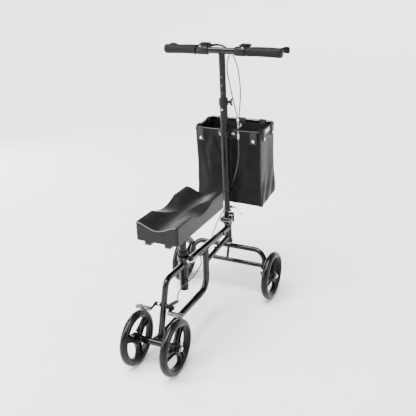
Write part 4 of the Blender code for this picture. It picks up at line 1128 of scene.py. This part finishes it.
clamp = Shape(STEER)
clamp.sleeve(0.0161, 0.0198, 0.386, 0.41, sides=52, cut=0.0009)
clamp.block((0.026, 0.003, 0.018), (0, 0.0194, 0.4015), 0.001)
clamp.hexagon(0.003, 0.0196, 0.0214, (0, 0, 0.398), (-0.5, -0.86, 0), 1)
clamp.piece("bag_bracket", "stem", "black_plastic", [PLASTIC, STEEL], ("bag_clamp",))


# Rear brake

SHAFT = at(*BRAKE_PIVOT)
brake = Shape(SHAFT)
brake.rod(0.005, -0.029, 0.029, axis=X, sides=32, mark=1)
turn = Matrix.Rotation(atan2(-0.015, 0.063), 4, "X")
for low in (0.0153, 0.0229):
    brake.slab([(-0.006, -0.005), (0.064, -0.004), (0.069, -0.001), (0.069, 0.004), (0.064, 0.0062),
        (-0.006, 0.0056)], low, low + 0.0018, 0.0004, turn=turn)
for low in (0.0129, 0.0246):
    brake.hexagon(0.0036, low, low + 0.0024, turn @ Vector((0, 0.064, 0.001)), X, 1)
brake.spring((0.012, 0, 0), X, 0.006, 0.0064, 0.0008, 4, 1)
for sign in (-1, 1):
    brake.rod(0.0078, 0.024, 0.03, axis=(sign, 0, 0), sides=28, cut=0.0008)
    arm = [(0.006, 0.0062), (-0.006, 0.0066), (-0.03, -0.001), (-0.0345, -0.005), (-0.033, -0.009),
        (-0.006, -0.006), (0.006, -0.0056)]
    brake.slab(arm, sign * 0.033 - 0.0022, sign * 0.033 + 0.0022, 0.0007)
    brake.hexagon(0.0042, 0.0355, 0.0385, (0, -0.0285, -0.0045), (sign, 0, 0), 1, washer=0.0052)
brake.block((0.03, 0.013, 0.012), (0.03, -0.006, 0.0006), 0.0022)
brake.block((0.01, 0.026, 0.004), (0.037, -0.02, -0.004), 0.0012)
brake.piece("brake_cross_shaft", "rear_brake", "bright_steel", [PLASTIC, STEEL], ("brake_shaft",))


def holed_plate(shape, half, low, high, deep, holes):
    """An upright plate with cut corners. Each hole is a dark round patch on its face, painted shade in place
    of the open hole, with a raised rim round it.
    """
    right = [(half - 0.002, low), (half, low + 0.002), (half, high - 0.003), (half - 0.003, high)]
    left = [(-x, z) for x, z in right[::-1]]
    shape.slab([left[-1], *right, *left[:-1]], -deep, deep, 0.0004, plane="XZ")
    for x, z, radius in holes:
        # Painted shade: a dark patch laid on the face where the hole would be open.
        hole_shade_patch = [(0.0001, deep), (radius, deep), (radius, deep + 0.0002), (0.0001, deep + 0.0002)]
        shape.turned(hole_shade_patch, (x, 0, z), (0, -1, 0), 28, 1)
        edge = [(radius, deep), (radius + 0.001, deep), (radius + 0.0008, deep + 0.0007),
            (radius, deep + 0.0007)]
        shape.turned(eased(edge, 0.0001), (x, 0, z), (0, -1, 0), 28, closed=True)


for side, sign in SIDES:
    middle = Vector((sign * 0.0635, -0.0365, -0.0052))
    shoe = Shape(SHAFT @ Matrix.Translation(middle) @ spin_x(-14))
    holes = [(0.0, 0.0, 0.0036)]
    if sign > 0:
        holes = [(0.01, 0.001, 0.0026), (0.0135, 0.001, 0.0026), (-0.012, 0.0, 0.0022)]
    holed_plate(shoe, 0.03, -0.0062, 0.0062, 0.0012, holes)
    shoe.block((0.06, 0.015, 0.0024), (0, 0.0074, 0.0052), 0.0006)
    shoe.block((0.024, 0.0125, 0.0085), (sign * 0.0135, 0.0085, -0.0006), 0.002, mark=1)
    shoe.hexagon(0.0036, 0.0064, 0.0088, (sign * 0.0135, 0.0085, 0), Z, washer=0.0046)
    shoe.piece(f"brake_shoe_plate_{side}", "rear_brake", "zinc_plate", [ZINC, PLASTIC],
        (f"brake_shoe_{side}",))
adjuster = Shape()
end = frame_path[-1]
adjuster.rod(0.0038, 0.004, 0.012, end, (0, 0.2, 0.98), 24, cut=0.0005)
adjuster.spring(end + Vector((0, 0.0008, 0.004)), Vector((0, -0.2, -0.98)), 0.015, 0.0036, 0.0006, 6)
adjuster.piece("brake_adjuster", "rear_brake", "bright_steel", STEEL)


# Floor and lights

FLAT, CURVE = 7.0, 4.0
floor = Shape()
bend = [(FLAT + CURVE * sin(a), CURVE - CURVE * cos(a)) for a in arc(0, 6, 16)]
floor.turned([(0.0, 0.0), *bend, (11.02, CURVE), (11.02, -0.02), (0.0, -0.02)], sides=96)
floor = floor.piece("studio_sweep", None, None, FLOOR)

world = bpy.data.worlds.new("studio")
world.use_nodes = True
bpy.context.scene.world = world
world.node_tree.nodes["Background"].inputs["Color"].default_value = (1.0, 1.0, 1.0, 1.0)
world.node_tree.nodes["Background"].inputs["Strength"].default_value = 0.22


def area_light(name, place, size, power):
    """A tall soft box that points at the middle of the scooter."""
    data = bpy.data.lights.new(name, "AREA")
    data.shape = "RECTANGLE"
    data.size, data.size_y = size
    data.energy = power
    made = bpy.data.objects.new(name, data)
    bpy.context.scene.collection.objects.link(made)
    made.location = place
    made.rotation_euler = (Vector((0, 0, 0.45)) - Vector(place)).to_track_quat("-Z", "Y").to_euler()


area_light("key", (-2.3, -2.2, 1.7), (0.5, 1.8), 120)
area_light("side", (-2.6, 1.2, 1.3), (0.4, 1.8), 45)
sky = bpy.data.lights.new("top", "SUN")
sky.energy = 9.5
sky.angle = radians(50)
sky = bpy.data.objects.new("top", sky)
bpy.context.scene.collection.objects.link(sky)
sky.rotation_euler = Vector((0.12, 0.3, -1.0)).to_track_quat("-Z", "Y").to_euler()
